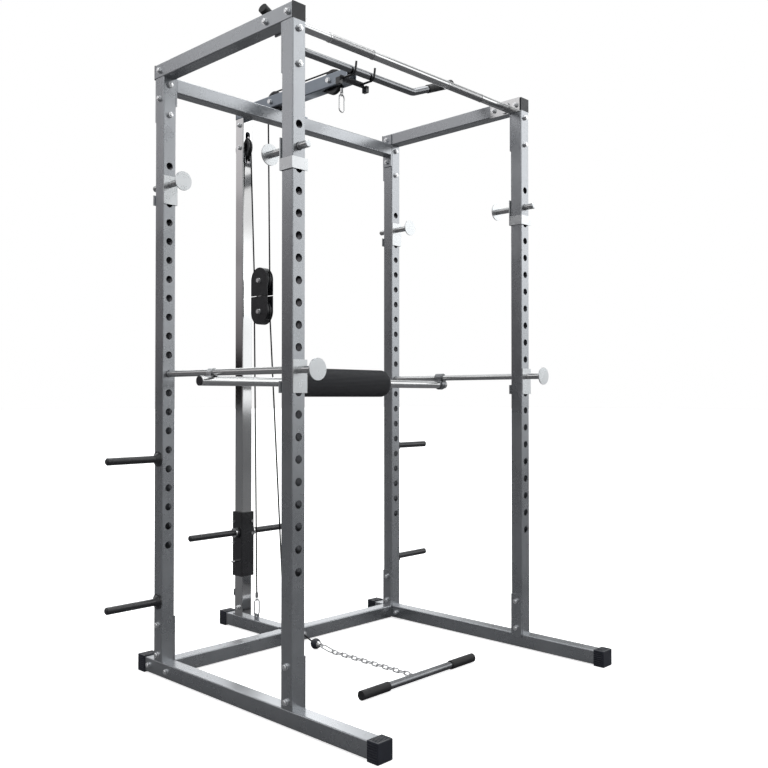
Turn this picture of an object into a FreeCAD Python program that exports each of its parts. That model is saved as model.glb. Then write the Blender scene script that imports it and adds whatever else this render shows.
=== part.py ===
"""Power cage with a lat and row tower, in millimetres.

X runs across the cage, Y from its front to its rear, Z up. The origin is on the floor,
in the middle of the cage's width and of the whole length of its base.
"""
import FreeCAD, Part
import math
import os
import re
from FreeCAD import Placement, Rotation, Vector

doc = FreeCAD.newDocument("power_cage")

# ---------------------------------------------------------------- driving dimensions
SIZES = {
    # cage frame
    "cage_width": (1200, "outer faces of the side frames"),
    "cage_height": (2120, "floor to the top rails' upper face"),
    "bay_depth": (684, "front face of the front uprights to front face of the rear ones"),
    "front_reach": (350, "front boots to the front uprights' front face"),
    "rear_reach": (96, "rear uprights' back face to the rear boots' end"),
    "tower_reach": (411, "rear uprights' back face to the tower boot's end"),
    "tube": (50, "square tube, outside"),
    "tube_wall": (2.5, "square tube wall"),
    "tube_corner": (4, "square tube outer corner radius"),
    "plate": (5, "welded tongues and end plates"),
    "tongue": (150, "tongue length over the rail"),
    "boot_wall": (4, "rubber boot wall, and the tube's height over the floor"),
    "boot_length": (42, "rubber boot along the tube"),
    "rib_pitch": (7, "boot rib pitch"),
    "rib_depth": (1.6, "boot groove depth"),
    "rib_count": (7, "boot grooves on each side"),
    "plug_lip": (4, "end plug thickness outside the tube"),
    "plug_depth": (12, "end plug length inside the tube"),
    # upright holes
    "hole_dia": (25, "adjustment holes"),
    "hole_pitch": (65.5, "adjustment hole pitch"),
    "hole_count": (21, "adjustment holes in each upright"),
    "top_hole_drop": (358, "cage top to the first hole"),
    "hook_hole": (2, "hole that holds the bar hooks, counted from the top"),
    "safety_hole": (12, "hole that holds the safety bars, counted from the top"),
    # crossmembers
    "cross_drop": (46, "cage top to the rear top crossmember's upper face"),
    "gusset_drop": (5, "cage top to the gusset plate's upper edge"),
    "gusset_length": (138, "gusset plate height"),
    "foot_plate": (150, "end plate of the rear bottom crossmember along the rail"),
    # pull-up bar
    "pullup_dia": (28, "pull-up bar"),
    "pullup_setback": (74, "front face of the front uprights to the pull-up bar"),
    "pullup_plate": (140, "pull-up bar end plate length"),
    "pullup_plate_rise": (54, "pull-up bar end plate height"),
    "pullup_drop": (27, "cage top to the pull-up bar's axis"),
    "knurl_inner": (196, "middle of the cage to the knurled zone"),
    "knurl_outer": (396, "middle of the cage to the knurled zone's outer ring"),
    "flange_dia": (46, "pull-up bar end flange"),
    # twist-lock fittings
    "pin_gap": (1.5, "hook pins and safety rods to their holes, radial"),
    "disc_dia": (65, "end discs"),
    "disc_thick": (4, "end discs"),
    "hook_inside": (82, "hook pin from the upright to the disc"),
    "hook_outside": (42, "hook pin beyond the upright"),
    "safety_front": (80, "safety rod from the upright to the disc"),
    "safety_rear": (16, "safety rod beyond the rear upright"),
    "strap_thick": (3.5, "lock strap sheet"),
    "strap_gap": (1, "lock strap to upright"),
    "strap_low": (68, "pin axis down to the strap's lower edge"),
    "strap_band": (35, "height of the wrap-round band"),
    "strap_high": (30, "pin axis up to the strap plate's upper edge"),
    "strap_lip": (6, "band end beyond the upright's edge"),
    # plate pegs on the rear uprights
    "peg_dia": (25, "plate storage pegs"),
    "peg_length": (196, "plate storage peg beyond the upright"),
    "peg_flange": (52, "peg root flange"),
    "peg_low": (258, "lower pegs over the floor"),
    "peg_high": (748, "upper pegs over the floor"),
    # knee hold-down
    "hold_dia": (32, "hold-down tube"),
    "hold_gap": (0.4, "hold-down tube to the safety rods"),
    "hold_setback": (430, "front face of the front uprights to the hold-down tube"),
    "hold_over_left": (47, "hold-down tube beyond the left safety rod's axis"),
    "hold_over_right": (23, "hold-down tube beyond the right safety rod's axis"),
    "roller_dia": (92, "foam roller"),
    "roller_length": (480, "foam roller"),
    "roller_end": (38, "foam roller end rounding"),
    "clip_width": (24, "left clip along the safety rod"),
    "clamp_width": (34, "right clamp along the safety rod"),
    # tower
    "post_setback": (261, "rear uprights' back face to the guide post"),
    "boom_gap": (6, "cage top to the boom's lower face"),
    "boom_inset": (372, "front uprights' front face to the boom's front end"),
    "front_wheel_inset": (98, "boom's front end to its front pulley axle"),
    "rear_wheel_setback": (81, "rear uprights' back face to the boom's rear pulley axle"),
    "post_wheel_drop": (114, "cage top to the post pulley axle"),
    "post_slot": (132, "slot height in the post"),
    "low_wheel_inset": (22, "rear uprights' back face forward to the low pulley axle"),
    "low_wheel_rise": (62, "base beam's top to the low pulley axle"),
    "belt_radius": (45, "cable centre line on the frame pulleys"),
    "block_radius": (50, "cable centre line on the block wheels"),
    "rim_over": (1, "pulley rim beyond the cable centre line"),
    "wheel_width": (18, "pulley width"),
    "axle_dia": (10, "pulley axles and frame bolts"),
    "axle_gap": (0.05, "axle to pulley bore, radial"),
    "cable_dia": (6, "cables"),
    "groove_gap": (0.5, "cable to pulley groove"),
    "slot_width": (24, "pulley slots in the boom and post"),
    "block_setback": (164, "rear uprights' back face to the pulley block"),
    "block_height": (1375, "pulley block over the floor"),
    "block_spacing": (127, "pulley block axle spacing"),
    "block_thick": (31, "pulley block covers across"),
    "cover_wall": (2.5, "pulley block cover wall"),
    "cover_radius": (53, "pulley block cover half width"),
    # weight carriage
    "liner_wall": (3.6, "slide liners' wall"),
    "sleeve_wall": (3, "carriage sleeve wall"),
    "sleeve_height": (265, "carriage sleeve"),
    "carriage_height": (220, "floor to the carriage at rest"),
    "slide_gap": (0.4, "slide liners to the post"),
    "liner_height": (30, "slide liners"),
    "weight_peg": (233, "carriage peg beyond the sleeve"),
    "weight_peg_rise": (180, "carriage's lower edge to its pegs"),
    # lat bar
    "lat_dia": (28, "lat bar"),
    "lat_half": (283, "middle to the bends"),
    "lat_end_x": (194, "bend to end, across"),
    "lat_end_y": (30, "bend to end, forward"),
    "lat_end_z": (75, "bend to end, up"),
    "lat_bend": (60, "bend radius"),
    "lat_setback": (322, "front face of the front uprights to the lat bar"),
    "lat_rise": (28, "cage top to the lat bar's axis"),
    "grip_length": (130, "rubber grips"),
    "grip_wall": (2.5, "rubber grip wall"),
    "hook_spread": (96, "distance between the two J hooks"),
    "hook_wire": (8, "J hook wire"),
    # row chain and bar
    "link_pitch": (26, "chain pitch"),
    "link_wire": (4.2, "chain wire"),
    "link_width": (17, "chain link outside width"),
    "link_count": (16, "chain links"),
    "ball_dia": (40, "rubber ball stop"),
    "ball_setback": (566, "front face of the front uprights to the ball stop"),
    "row_dia": (25, "row bar"),
    "row_half": (281, "row bar half length"),
    "row_grip": (31, "row bar grips"),
    # fasteners
    "bolt_dia": (10, "frame bolts"),
    "bolt_hole": (11, "bolt holes"),
    "head_size": (17, "hex across flats"),
    "head_height": (6.4, "hex head"),
    "nut_height": (8, "nuts"),
    "washer_dia": (20, "washers"),
    "washer_thick": (2, "washers"),
}

# Places worked out from the driving dimensions.
PLACES = {
    "pin_dia": "hole_dia - 2 * pin_gap",
    "sleeve": "tube + 2 * (slide_gap + liner_wall + sleeve_wall)",
    "y_front": "front_reach - (front_reach + bay_depth + tube + tower_reach) / 2",
    "x_side": "(cage_width - tube) / 2",
    "y_front_mid": "y_front + tube / 2",
    "y_rear_mid": "y_front + bay_depth + tube / 2",
    "y_back": "y_front + bay_depth + tube",
    "y_rail_front": "y_front - front_reach",
    "y_rail_rear": "y_back + rear_reach",
    "y_tower_end": "y_back + tower_reach",
    "z_rail_mid": "boot_wall + tube / 2",
    "z_rail_top": "boot_wall + tube",
    "z_top_rail": "cage_height - tube",
    "z_top_mid": "cage_height - tube / 2",
    "z_first_hole": "cage_height - top_hole_drop",
    "z_hook": "z_first_hole - hole_pitch * (hook_hole - 1)",
    "z_safety": "z_first_hole - hole_pitch * (safety_hole - 1)",
    "z_cross_mid": "cage_height - cross_drop - tube / 2",
    "z_pullup": "cage_height - pullup_drop",
    "y_pullup": "y_front + pullup_setback",
    "y_post": "y_back + post_setback + tube / 2",
    "z_boom": "cage_height + boom_gap",
    "z_boom_mid": "z_boom + tube / 2",
    "y_boom_front": "y_front + boom_inset",
    "y_boom_rear": "y_post + tube / 2",
    "y_wheel_front": "y_boom_front + front_wheel_inset",
    "y_wheel_rear": "y_back + rear_wheel_setback",
    "z_post_wheel": "cage_height - post_wheel_drop",
    "y_low_wheel": "y_back - low_wheel_inset",
    "z_low_wheel": "z_rail_top + low_wheel_rise",
    "y_block": "y_back + block_setback",
    "z_block_high": "block_height + block_spacing / 2",
    "z_block_low": "block_height - block_spacing / 2",
    "y_hold": "y_front + hold_setback",
    "hold_left": "x_side + hold_over_left",
    "hold_right": "x_side + hold_over_right",
    "z_hold": "z_safety - pin_dia / 2 - hold_gap - hold_dia / 2",
    "z_weight_peg": "carriage_height + weight_peg_rise",
    "y_lat": "y_front + lat_setback",
    "z_lat": "cage_height + lat_rise",
    "y_ball": "y_front + ball_setback",
    "z_ball": "ball_dia / 2 + 1",
    "z_chain": "link_width / 2 + 1",
    "z_tongue_top": "z_rail_top + tongue",
    "z_bolt_low": "z_rail_top + 22",
    "z_bolt_high": "z_rail_top + 124",
    "z_bolt_upper": "z_top_rail - 25",
    "z_bolt_under": "z_top_rail - 130",
}

sheet = doc.addObject("Spreadsheet::Sheet", "Sizes")
for row, (alias, (number, meaning)) in enumerate(SIZES.items(), start=1):
    sheet.set(f"A{row}", alias)
    sheet.set(f"B{row}", str(number))
    sheet.set(f"C{row}", meaning)
    sheet.setAlias(f"B{row}", alias)
doc.recompute()


def bound(expression):
    """Turn plain size and place names into references that the document resolves."""
    def owner(match):
        word = match.group(0)
        if word in SIZES:
            return "Sizes." + word
        if word in PLACES:
            return "Places." + word
        return word
    return re.sub(r"[A-Za-z_]\w*", owner, str(expression))


places = doc.addObject("App::VarSet", "Places")
for word, expression in PLACES.items():
    places.addProperty("App::PropertyFloat", word, "Places")
    own = re.sub(r"Places\.", "", bound(expression))
    places.setExpression(word, own)
doc.recompute()


def size(word):
    """The value of a driving dimension or a place, as a number."""
    return float(sheet.get(word)) if word in SIZES else float(getattr(places, word))


# ---------------------------------------------------------------- building blocks
PARTS = []
AXES = {"x": Rotation(Vector(0, 0, 1), Vector(1, 0, 0)),
        "y": Rotation(Vector(0, 0, 1), Vector(0, 1, 0)),
        "z": Rotation()}


def bind(item, **expressions):
    for prop, expression in expressions.items():
        item.setExpression(prop, bound(expression))


def put(item, x, y, z):
    for axis, expression in zip("xyz", (x, y, z)):
        item.setExpression("Placement.Base." + axis, bound(expression))


def shifted(centre, axis, offset):
    """A centre, as three expressions, moved along one axis."""
    return [f"{c} + ({offset})" if a == axis else f"{c}" for c, a in zip(centre, "xyz")]


def box(name, centre, sides):
    item = doc.addObject("Part::Box", name)
    bind(item, Length=sides[0], Width=sides[1], Height=sides[2])
    put(item, *(f"{c} - ({s}) / 2" for c, s in zip(centre, sides)))
    return item


def cylinder(name, centre, radius, length, axis):
    item = doc.addObject("Part::Cylinder", name)
    item.Placement = Placement(Vector(), AXES[axis])
    bind(item, Radius=radius, Height=length)
    put(item, *shifted(centre, axis, f"-({length}) / 2"))
    return item


def cone(name, centre, radius_1, radius_2, length, axis):
    item = doc.addObject("Part::Cone", name)
    item.Placement = Placement(Vector(), AXES[axis])
    bind(item, Radius1=radius_1, Radius2=radius_2, Height=length)
    put(item, *shifted(centre, axis, f"-({length}) / 2"))
    return item


def torus(name, centre, ring, wire, axis):
    item = doc.addObject("Part::Torus", name)
    item.Placement = Placement(Vector(), AXES[axis])
    bind(item, Radius1=ring, Radius2=wire)
    put(item, *centre)
    return item


def fuse(name, items):
    item = doc.addObject("Part::MultiFuse", name)
    item.Shapes = items
    return item


def cut(name, base, tools):
    item = doc.addObject("Part::Cut", name)
    item.Base = base
    item.Tool = tools[0] if len(tools) == 1 else fuse(name + "_tools", tools)
    return item


def group(name, items):
    """Identical fasteners or parts that share one node as separate solids."""
    item = doc.addObject("Part::Compound", name)
    item.Links = items
    return item


def keep(item, label):
    item.Label = label
    PARTS.append(item)
    return item


def keep_shape(shape, label):
    item = doc.addObject("Part::Feature", label)
    item.Shape = shape
    return keep(item, label)


def plane(body, role):
    return next(f for f in body.Origin.OriginFeatures if f.Role == role)


def sketch_on(body, name, role):
    sketch = body.newObject("Sketcher::SketchObject", name)
    sketch.AttachmentSupport = [(plane(body, role), "")]
    sketch.MapMode = "FlatFace"
    return sketch


def rectangle_sketch(body, name, width, height):
    """A centred rectangle on the body's XY plane, its two sides bound to the sheet."""
    import Sketcher
    sketch = sketch_on(body, name, "XY_Plane")
    corners = [Vector(-10, -10, 0), Vector(10, -10, 0), Vector(10, 10, 0), Vector(-10, 10, 0)]
    for i in range(4):
        sketch.addGeometry(Part.LineSegment(corners[i], corners[(i + 1) % 4]), False)
    for i in range(4):
        sketch.addConstraint(Sketcher.Constraint("Coincident", i, 2, (i + 1) % 4, 1))
    for i in (0, 2):
        sketch.addConstraint(Sketcher.Constraint("Horizontal", i))
        sketch.addConstraint(Sketcher.Constraint("Vertical", i + 1))
    sketch.addConstraint(Sketcher.Constraint("Symmetric", 0, 1, 1, 2, -1, 1))
    for side, line, limit in (("width", 0, width), ("height", 1, height)):
        kind = "DistanceX" if side == "width" else "DistanceY"
        index = sketch.addConstraint(Sketcher.Constraint(kind, line, 1, line, 2, 20.0))
        sketch.renameConstraint(index, side)
        sketch.setExpression("Constraints." + side, bound(limit))
    return sketch


def hollow(name, length, width="tube", wall="tube_wall", corner="tube_corner"):
    """A square tube along its body's Z axis, from its origin."""
    body = doc.addObject("PartDesign::Body", name)
    pad = body.newObject("PartDesign::Pad", name + "_pad")
    pad.Profile = rectangle_sketch(body, name + "_outline", width, width)
    bind(pad, Length=length)
    doc.recompute()
    rounding = body.newObject("PartDesign::Fillet", name + "_corners")
    long_edges = [f"Edge{i}" for i, e in enumerate(pad.Shape.Edges, start=1)
                  if abs(e.tangentAt(e.FirstParameter).z) > 0.9]
    rounding.Base = (pad, long_edges)
    bind(rounding, Radius=corner)
    bore = body.newObject("PartDesign::Pocket", name + "_bore")
    bore.Profile = rectangle_sketch(body, name + "_inside", f"{width} - 2 * {wall}", f"{width} - 2 * {wall}")
    bore.Type = "ThroughAll"
    bore.Reversed = True
    doc.recompute()
    return body


def laid(body, axis, x, y, z):
    """Turn a body's Z axis along X, Y or Z and put its origin in place."""
    body.Placement = Placement(Vector(), AXES[axis])
    put(body, x, y, z)
    return body


def tube(name, axis, start, length):
    return laid(hollow(name, length), axis, *start)


def drill_rows(body, name):
    """The adjustment holes, through the front and rear walls of an upright."""
    import Sketcher
    sketch = sketch_on(body, name + "_hole_sketch", "XZ_Plane")
    sketch.addGeometry(Part.Circle(Vector(0, 100, 0), Vector(0, 0, 1), 10), False)
    sketch.addConstraint(Sketcher.Constraint("PointOnObject", 0, 3, -2))
    for word, kind, limit in (("rise", "DistanceY", "z_first_hole - z_rail_top"),
                              ("bore", "Diameter", "hole_dia")):
        if kind == "DistanceY":
            index = sketch.addConstraint(Sketcher.Constraint(kind, -1, 1, 0, 3, 100.0))
        else:
            index = sketch.addConstraint(Sketcher.Constraint(kind, 0, 20.0))
        sketch.renameConstraint(index, word)
        sketch.setExpression("Constraints." + word, bound(limit))
    pocket = body.newObject("PartDesign::Pocket", name + "_hole")
    pocket.Profile = sketch
    pocket.Type = "ThroughAll"
    pocket.Midplane = True
    doc.recompute()
    pattern = body.newObject("PartDesign::LinearPattern", name + "_holes")
    pattern.Originals = [pocket]
    pattern.Direction = (plane(body, "Z_Axis"), [""])
    pattern.Reversed = True
    bind(pattern, Length="hole_pitch * (hole_count - 1)", Occurrences="hole_count")
    body.Tip = pattern
    doc.recompute()


# ---------------------------------------------------------------- bolts
BOLTS = {}


def bolt(name, head, axis, way, grip, parts):
    """One bolt: head and washer at the head point, shank the way given, nut at the far end."""
    BOLTS[name] = {"head": head, "axis": axis, "way": way, "grip": grip, "parts": parts}


def bolt_cutters(node):
    tools = []
    for name, data in BOLTS.items():
        if node in data["parts"]:
            middle = shifted(data["head"], data["axis"], f"{data['way']} * ({data['grip']}) / 2")
            tools.append(cylinder(f"{name}_hole_{node}", middle, "bolt_hole / 2",
                                  f"{data['grip']} + 8", data["axis"]))
    return tools


def hexagon(name, centre, length, axis):
    item = doc.addObject("Part::Prism", name)
    item.Polygon = 6
    item.Placement = Placement(Vector(), AXES[axis])
    bind(item, Circumradius="head_size / 1.732", Height=length)
    put(item, *shifted(centre, axis, f"-({length}) / 2"))
    return item


def bolt_solids(name, data):
    """The bolt with its washer, and its nut."""
    axis, way, head = data["axis"], data["way"], data["head"]
    washer = cylinder(name + "_washer", shifted(head, axis, f"-{way} * washer_thick / 2"),
                      "washer_dia / 2", "washer_thick", axis)
    cap = hexagon(name + "_head", shifted(head, axis, f"-{way} * (washer_thick + head_height / 2)"),
                  "head_height", axis)
    reach = f"({data['grip']} + nut_height + washer_thick + 3)"
    shank = cylinder(name + "_shank", shifted(head, axis, f"{way} * ({reach} - washer_thick) / 2"),
                     "bolt_dia / 2", f"{reach} + washer_thick", axis)
    far = shifted(head, axis, f"{way} * ({data['grip']} + nut_height / 2)")
    block = hexagon(name + "_nut_block", far, "nut_height", axis)
    bore = cylinder(name + "_nut_bore", far, "bolt_dia / 2", "nut_height + 2", axis)
    return fuse(name + "_bolt", [shank, washer, cap]), cut(name + "_nut", block, [bore])


def drilled(item, label):
    """Cut the bolt holes that pass through a piece and keep it under its label."""
    tools = bolt_cutters(label)
    return keep(cut(label + "_drilled", item, tools), label) if tools else keep(item, label)


SIDES = {"left": -1, "right": 1}
CORNERS = [(end, side) for end in ("front", "rear") for side in SIDES]


def corner_y(end):
    return "y_front_mid" if end == "front" else "y_rear_mid"


def list_bolts():
    """Every bolted joint of the frame."""
    for end, side in CORNERS:
        sign, y = SIDES[side], corner_y(end)
        x = f"{sign} * x_side"
        upright = f"upright_{end}_{side}"
        for spot, z in (("low", "z_bolt_low"), ("high", "z_bolt_high")):
            bolt(f"foot_{spot}_{end}_{side}",
                 [f"{sign} * cage_width / 2", y, z], "x", -sign, "tube + plate",
                 [upright, f"floor_rail_{side}"])
        for spot, z in (("upper", "z_bolt_upper"), ("under", "z_bolt_under")):
            bolt(f"top_{spot}_{end}_{side}",
                 [x, f"{y} - tube / 2", z], "y", 1, "tube + plate", [upright, f"top_rail_{side}"])
    for side, sign in SIDES.items():
        outer = f"{sign} * cage_width / 2"
        bolt(f"gusset_rail_{side}", [outer, "y_rear_mid", "z_top_mid"], "x", -sign,
             "tube + plate", [f"top_rail_{side}", "rear_top_crossmember"])
        bolt(f"gusset_upright_{side}",
             [outer, "y_rear_mid", "cage_height - gusset_drop - gusset_length + 20"], "x", -sign,
             "tube + plate", [f"upright_rear_{side}", "rear_top_crossmember"])
        for spot, way in (("front", -1), ("rear", 1)):
            bolt(f"base_{spot}_{side}",
                 [outer, f"y_rear_mid + {way} * (foot_plate / 2 - 20)", "z_rail_mid"], "x", -sign,
                 "tube + plate", [f"floor_rail_{side}", "rear_bottom_crossmember"])
            bolt(f"pullup_{spot}_{side}",
                 [outer, f"y_pullup + {way} * (pullup_plate / 2 - 18)", "z_pullup"], "x", -sign,
                 "tube + plate", [f"top_rail_{side}", "pull_up_bar"])
    for side, sign in SIDES.items():
        bolt(f"beam_{side}", [f"{sign} * 42", "y_back + plate", "z_rail_mid"], "y", -1,
             "tube + plate", ["rear_bottom_crossmember", "tower_base_beam"])
    bolt("post_foot", ["-tube / 2", "y_post", "z_rail_top + 34"], "x", 1, "tube",
         ["guide_post", "tower_base_beam"])
    bolt("post_head", ["-tube / 2", "y_post", "z_boom - 26"], "x", 1, "tube",
         ["guide_post", "top_boom"])


# ---------------------------------------------------------------- cage frame
def build_floor_rails():
    for side, sign in SIDES.items():
        start = [f"{sign} * x_side", "y_rail_front + boot_wall", "z_rail_mid"]
        rail = tube(f"rail_{side}", "y", start, "y_rail_rear - y_rail_front - 2 * boot_wall")
        tongues = [box(f"foot_tongue_{end}_{side}",
                       [f"{sign} * (x_side - (tube + plate) / 2)", corner_y(end), "z_rail_top + tongue / 2 - 6"],
                       ["plate", "tube - 4", "tongue + 12"]) for end in ("front", "rear")]
        drilled(fuse(f"rail_{side}_welded", [rail] + tongues), f"floor_rail_{side}")


def build_uprights():
    for end, side in CORNERS:
        label = f"upright_{end}_{side}"
        body = hollow(label + "_tube", "z_top_rail - z_rail_top")
        drill_rows(body, label)
        laid(body, "z", f"{SIDES[side]} * x_side", corner_y(end), "z_rail_top")
        drilled(body, label)


def build_top_rails():
    for side, sign in SIDES.items():
        start = [f"{sign} * x_side", "y_front + plug_lip", "z_top_mid"]
        rail = tube(f"top_{side}", "y", start, "bay_depth + tube + plate - plug_lip")
        tongues = [box(f"head_tongue_{end}_{side}",
                       [f"{sign} * x_side", f"{corner_y(end)} + (tube + plate) / 2", "z_top_rail - tongue / 2 + 1"],
                       ["tube - 4", "plate", "tongue + 2"]) for end in ("front", "rear")]
        drilled(fuse(f"top_{side}_welded", [rail] + tongues), f"top_rail_{side}")


def build_crossmembers():
    for label, z, plate_z, plate_sides in (
            ("rear_top_crossmember", "z_cross_mid", "cage_height - gusset_drop - gusset_length / 2",
             ["plate", "tube - 2", "gusset_length"]),
            ("rear_bottom_crossmember", "z_rail_mid", "boot_wall + 20", ["plate", "foot_plate", "34"])):
        length = "cage_width - 2 * tube - 2 * plate"
        bar = tube(label + "_tube", "x", [f"-({length}) / 2", "y_rear_mid", z], length)
        plates = [box(f"{label}_plate_{side}", [f"{sign} * (cage_width / 2 - tube - plate / 2)", "y_rear_mid", plate_z],
                      plate_sides) for side, sign in SIDES.items()]
        drilled(fuse(label + "_welded", [bar] + plates), label)


def build_pull_up_bar():
    centre = ["0", "y_pullup", "z_pullup"]
    span = "cage_width - 2 * tube - 2 * plate"
    items = [cylinder("pullup_rod", centre, "pullup_dia / 2", span, "x")]
    for side, sign in SIDES.items():
        end = shifted(centre, "x", f"{sign} * (cage_width / 2 - tube - plate / 2)")
        items.append(box(f"pullup_end_{side}", end, ["plate", "pullup_plate", "pullup_plate_rise"]))
        flange = shifted(centre, "x", f"{sign} * (cage_width / 2 - tube - plate - 3)")
        items.append(cylinder(f"pullup_flange_{side}", flange, "flange_dia / 2", "6", "x"))
        middle = shifted(centre, "x", f"{sign} * (knurl_inner + knurl_outer - 12) / 2")
        items.append(cylinder(f"pullup_knurl_{side}", middle, "pullup_dia / 2 + 0.6",
                              "knurl_outer - knurl_inner - 12", "x"))
        for spot, place in (("inner", "knurl_inner - 4"), ("outer", "knurl_outer - 8")):
            ring = shifted(centre, "x", f"{sign} * ({place})")
            items.append(cylinder(f"pullup_ring_{spot}_{side}", ring, "pullup_dia / 2 + 1.6", "6", "x"))
    drilled(fuse("pullup_welded", items), "pull_up_bar")


def boot_shape():
    """A ribbed rubber boot: open towards +Y, its closed end at Y = 0, its foot on Z = 0."""
    tube_side, wall, length = size("tube"), size("boot_wall"), size("boot_length")
    outer = tube_side + 2 * wall
    shape = Part.makeBox(outer, length, outer, Vector(-outer / 2, 0, 0))
    shape = shape.makeFillet(2.5, shape.Edges)
    groove = size("rib_pitch") / 2
    depth = size("rib_depth")
    for i in range(int(size("rib_count"))):
        along = (i - (size("rib_count") - 1) / 2) * size("rib_pitch") - groove / 2
        for x in (-outer / 2 - 1, outer / 2 - depth):
            shape = shape.cut(Part.makeBox(depth + 1, length, groove, Vector(x, 5, outer / 2 + along)))
        for z in (-1, outer - depth):
            shape = shape.cut(Part.makeBox(groove, length, depth + 1, Vector(along, 5, z)))
    inside = tube_side
    return shape.cut(Part.makeBox(inside, length, inside, Vector(-inside / 2, wall, wall)))


def build_boots():
    shape = boot_shape()
    x, turn = size("x_side"), Rotation(Vector(0, 0, 1), 180)
    spots = [(-x, "y_rail_front", Rotation()), (x, "y_rail_front", Rotation()),
             (-x, "y_rail_rear", turn), (x, "y_rail_rear", turn), (0, "y_tower_end", turn)]
    boots = []
    for across, along, rotation in spots:
        boot = shape.copy()
        boot.Placement = Placement(Vector(across, size(along), 0), rotation)
        boots.append(boot)
    keep_shape(Part.makeCompound(boots), "rubber_boots")


def plug(name, centre, axis, way):
    """An end plug of a square tube; its lip's inner face is at the centre point."""
    lip = box(name + "_lip", shifted(centre, axis, f"{way} * plug_lip / 2"),
              ["plug_lip" if a == axis else "tube" for a in "xyz"])
    core_side = "tube - 2 * tube_wall"
    core = box(name + "_core", shifted(centre, axis, f"-{way} * plug_depth / 2"),
               ["plug_depth" if a == axis else core_side for a in "xyz"])
    return fuse(name, [lip, core])


def build_plugs():
    """Five equal plugs close the top rails and the boom."""
    plugs = [plug("plug_boom", ["0", "y_boom_rear - plug_lip", "z_boom_mid"], "y", 1)]
    for end, side in CORNERS:
        way = -1 if end == "front" else 1
        y = "y_front + plug_lip" if end == "front" else "y_back + plate"
        plugs.append(plug(f"plug_{end}_{side}", [f"{SIDES[side]} * x_side", y, "z_top_mid"], "y", way))
    keep(group("plugs", plugs), "end_plugs")


def build_storage_pegs():
    """Two pegs on each rear upright: tapered root flange, rod with a chamfered end."""
    items = []
    for side, sign in SIDES.items():
        for spot, z in (("low", "peg_low"), ("high", "peg_high")):
            name = f"storage_{spot}_{side}"
            root = [f"{sign} * cage_width / 2", "y_rear_mid", z]
            flange = cylinder(name + "_flange", shifted(root, "x", f"{sign} * 2"), "peg_flange / 2", "4", "x")
            taper_centre = shifted(root, "x", f"{sign} * 10")
            radii = ("peg_flange / 2 - 4", "peg_dia / 2") if sign > 0 else ("peg_dia / 2", "peg_flange / 2 - 4")
            taper = cone(name + "_taper", taper_centre, *radii, "12", "x")
            rod = cylinder(name + "_rod", shifted(root, "x", f"{sign} * (peg_length - 4) / 2"), "peg_dia / 2",
                           "peg_length - 4", "x")
            tip_radii = ("peg_dia / 2", "peg_dia / 2 - 4") if sign > 0 else ("peg_dia / 2 - 4", "peg_dia / 2")
            tip = cone(name + "_tip", shifted(root, "x", f"{sign} * (peg_length - 2)"), *tip_radii, "4", "x")
            items.append(fuse(name, [flange, taper, rod, tip]))
    keep(group("storage_group", items), "storage_pegs")


# ---------------------------------------------------------------- twist-lock fittings
def lock_strap(name, x, y, z, way):
    """A strap that wraps the upright: plate on one face, wing on one side, band end on the far face."""
    out = "(tube / 2 + strap_gap + strap_thick / 2)"
    wide = "(tube + strap_gap + strap_thick)"
    plate_z = f"{z} + (strap_high - strap_low) / 2"
    band_z = f"{z} - strap_low + strap_band / 2"
    plate = box(name + "_plate", [f"{x} + {way} * (strap_gap + strap_thick) / 2", f"{y} - {way} * {out}", plate_z],
                [wide, "strap_thick", "strap_high + strap_low"])
    wing = box(name + "_wing", [f"{x} + {way} * {out}", y, band_z],
               ["strap_thick", "tube + 2 * (strap_gap + strap_thick)", "strap_band"])
    band = box(name + "_band",
               [f"{x} + {way} * (strap_gap + strap_thick - strap_lip) / 2", f"{y} + {way} * {out}", band_z],
               [f"{wide} + strap_lip", "strap_thick", "strap_band"])
    return [plate, wing, band]


def twist_pin(name, x, y_disc, y_tip, z, way):
    """A pin along Y with an end disc and a chamfered tip; way points from the disc to the tip."""
    tip = 3
    rod = cylinder(name + "_rod", [x, f"({y_disc} + {y_tip} - {way} * {tip}) / 2", z], "pin_dia / 2",
                   f"{way} * ({y_tip} - ({y_disc})) - {tip}", "y")
    radii = ("pin_dia / 2", "pin_dia / 2 - 2.5") if way > 0 else ("pin_dia / 2 - 2.5", "pin_dia / 2")
    nose = cone(name + "_nose", [x, f"{y_tip} - {way} * {tip} / 2", z], *radii, str(tip), "y")
    disc = cylinder(name + "_disc", [x, f"{y_disc} + {way} * disc_thick / 2", z], "disc_dia / 2", "disc_thick", "y")
    return [rod, nose, disc]


def build_hooks():
    """Hooks face into the bay: front ones have their disc behind the upright, rear ones before it."""
    for end, side in CORNERS:
        way = -1 if end == "front" else 1
        x, y, name = f"{SIDES[side]} * x_side", corner_y(end), f"bar_hook_{end}_{side}"
        disc = f"{y} - {way} * (tube / 2 + hook_inside + disc_thick)"
        tip = f"{y} + {way} * (tube / 2 + hook_outside)"
        items = lock_strap(name, x, y, "z_hook", way) + twist_pin(name, x, disc, tip, "z_hook", way)
        keep(fuse(name + "_welded", items), name)


def build_safety_bars():
    for side, sign in SIDES.items():
        x, name = f"{sign} * x_side", f"safety_bar_{side}"
        items = lock_strap(name, x, "y_front_mid", "z_safety", 1)
        items += twist_pin(name, x, "y_front - safety_front - disc_thick", "y_back + safety_rear", "z_safety", 1)
        keep(fuse(name + "_welded", items), name)


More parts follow.
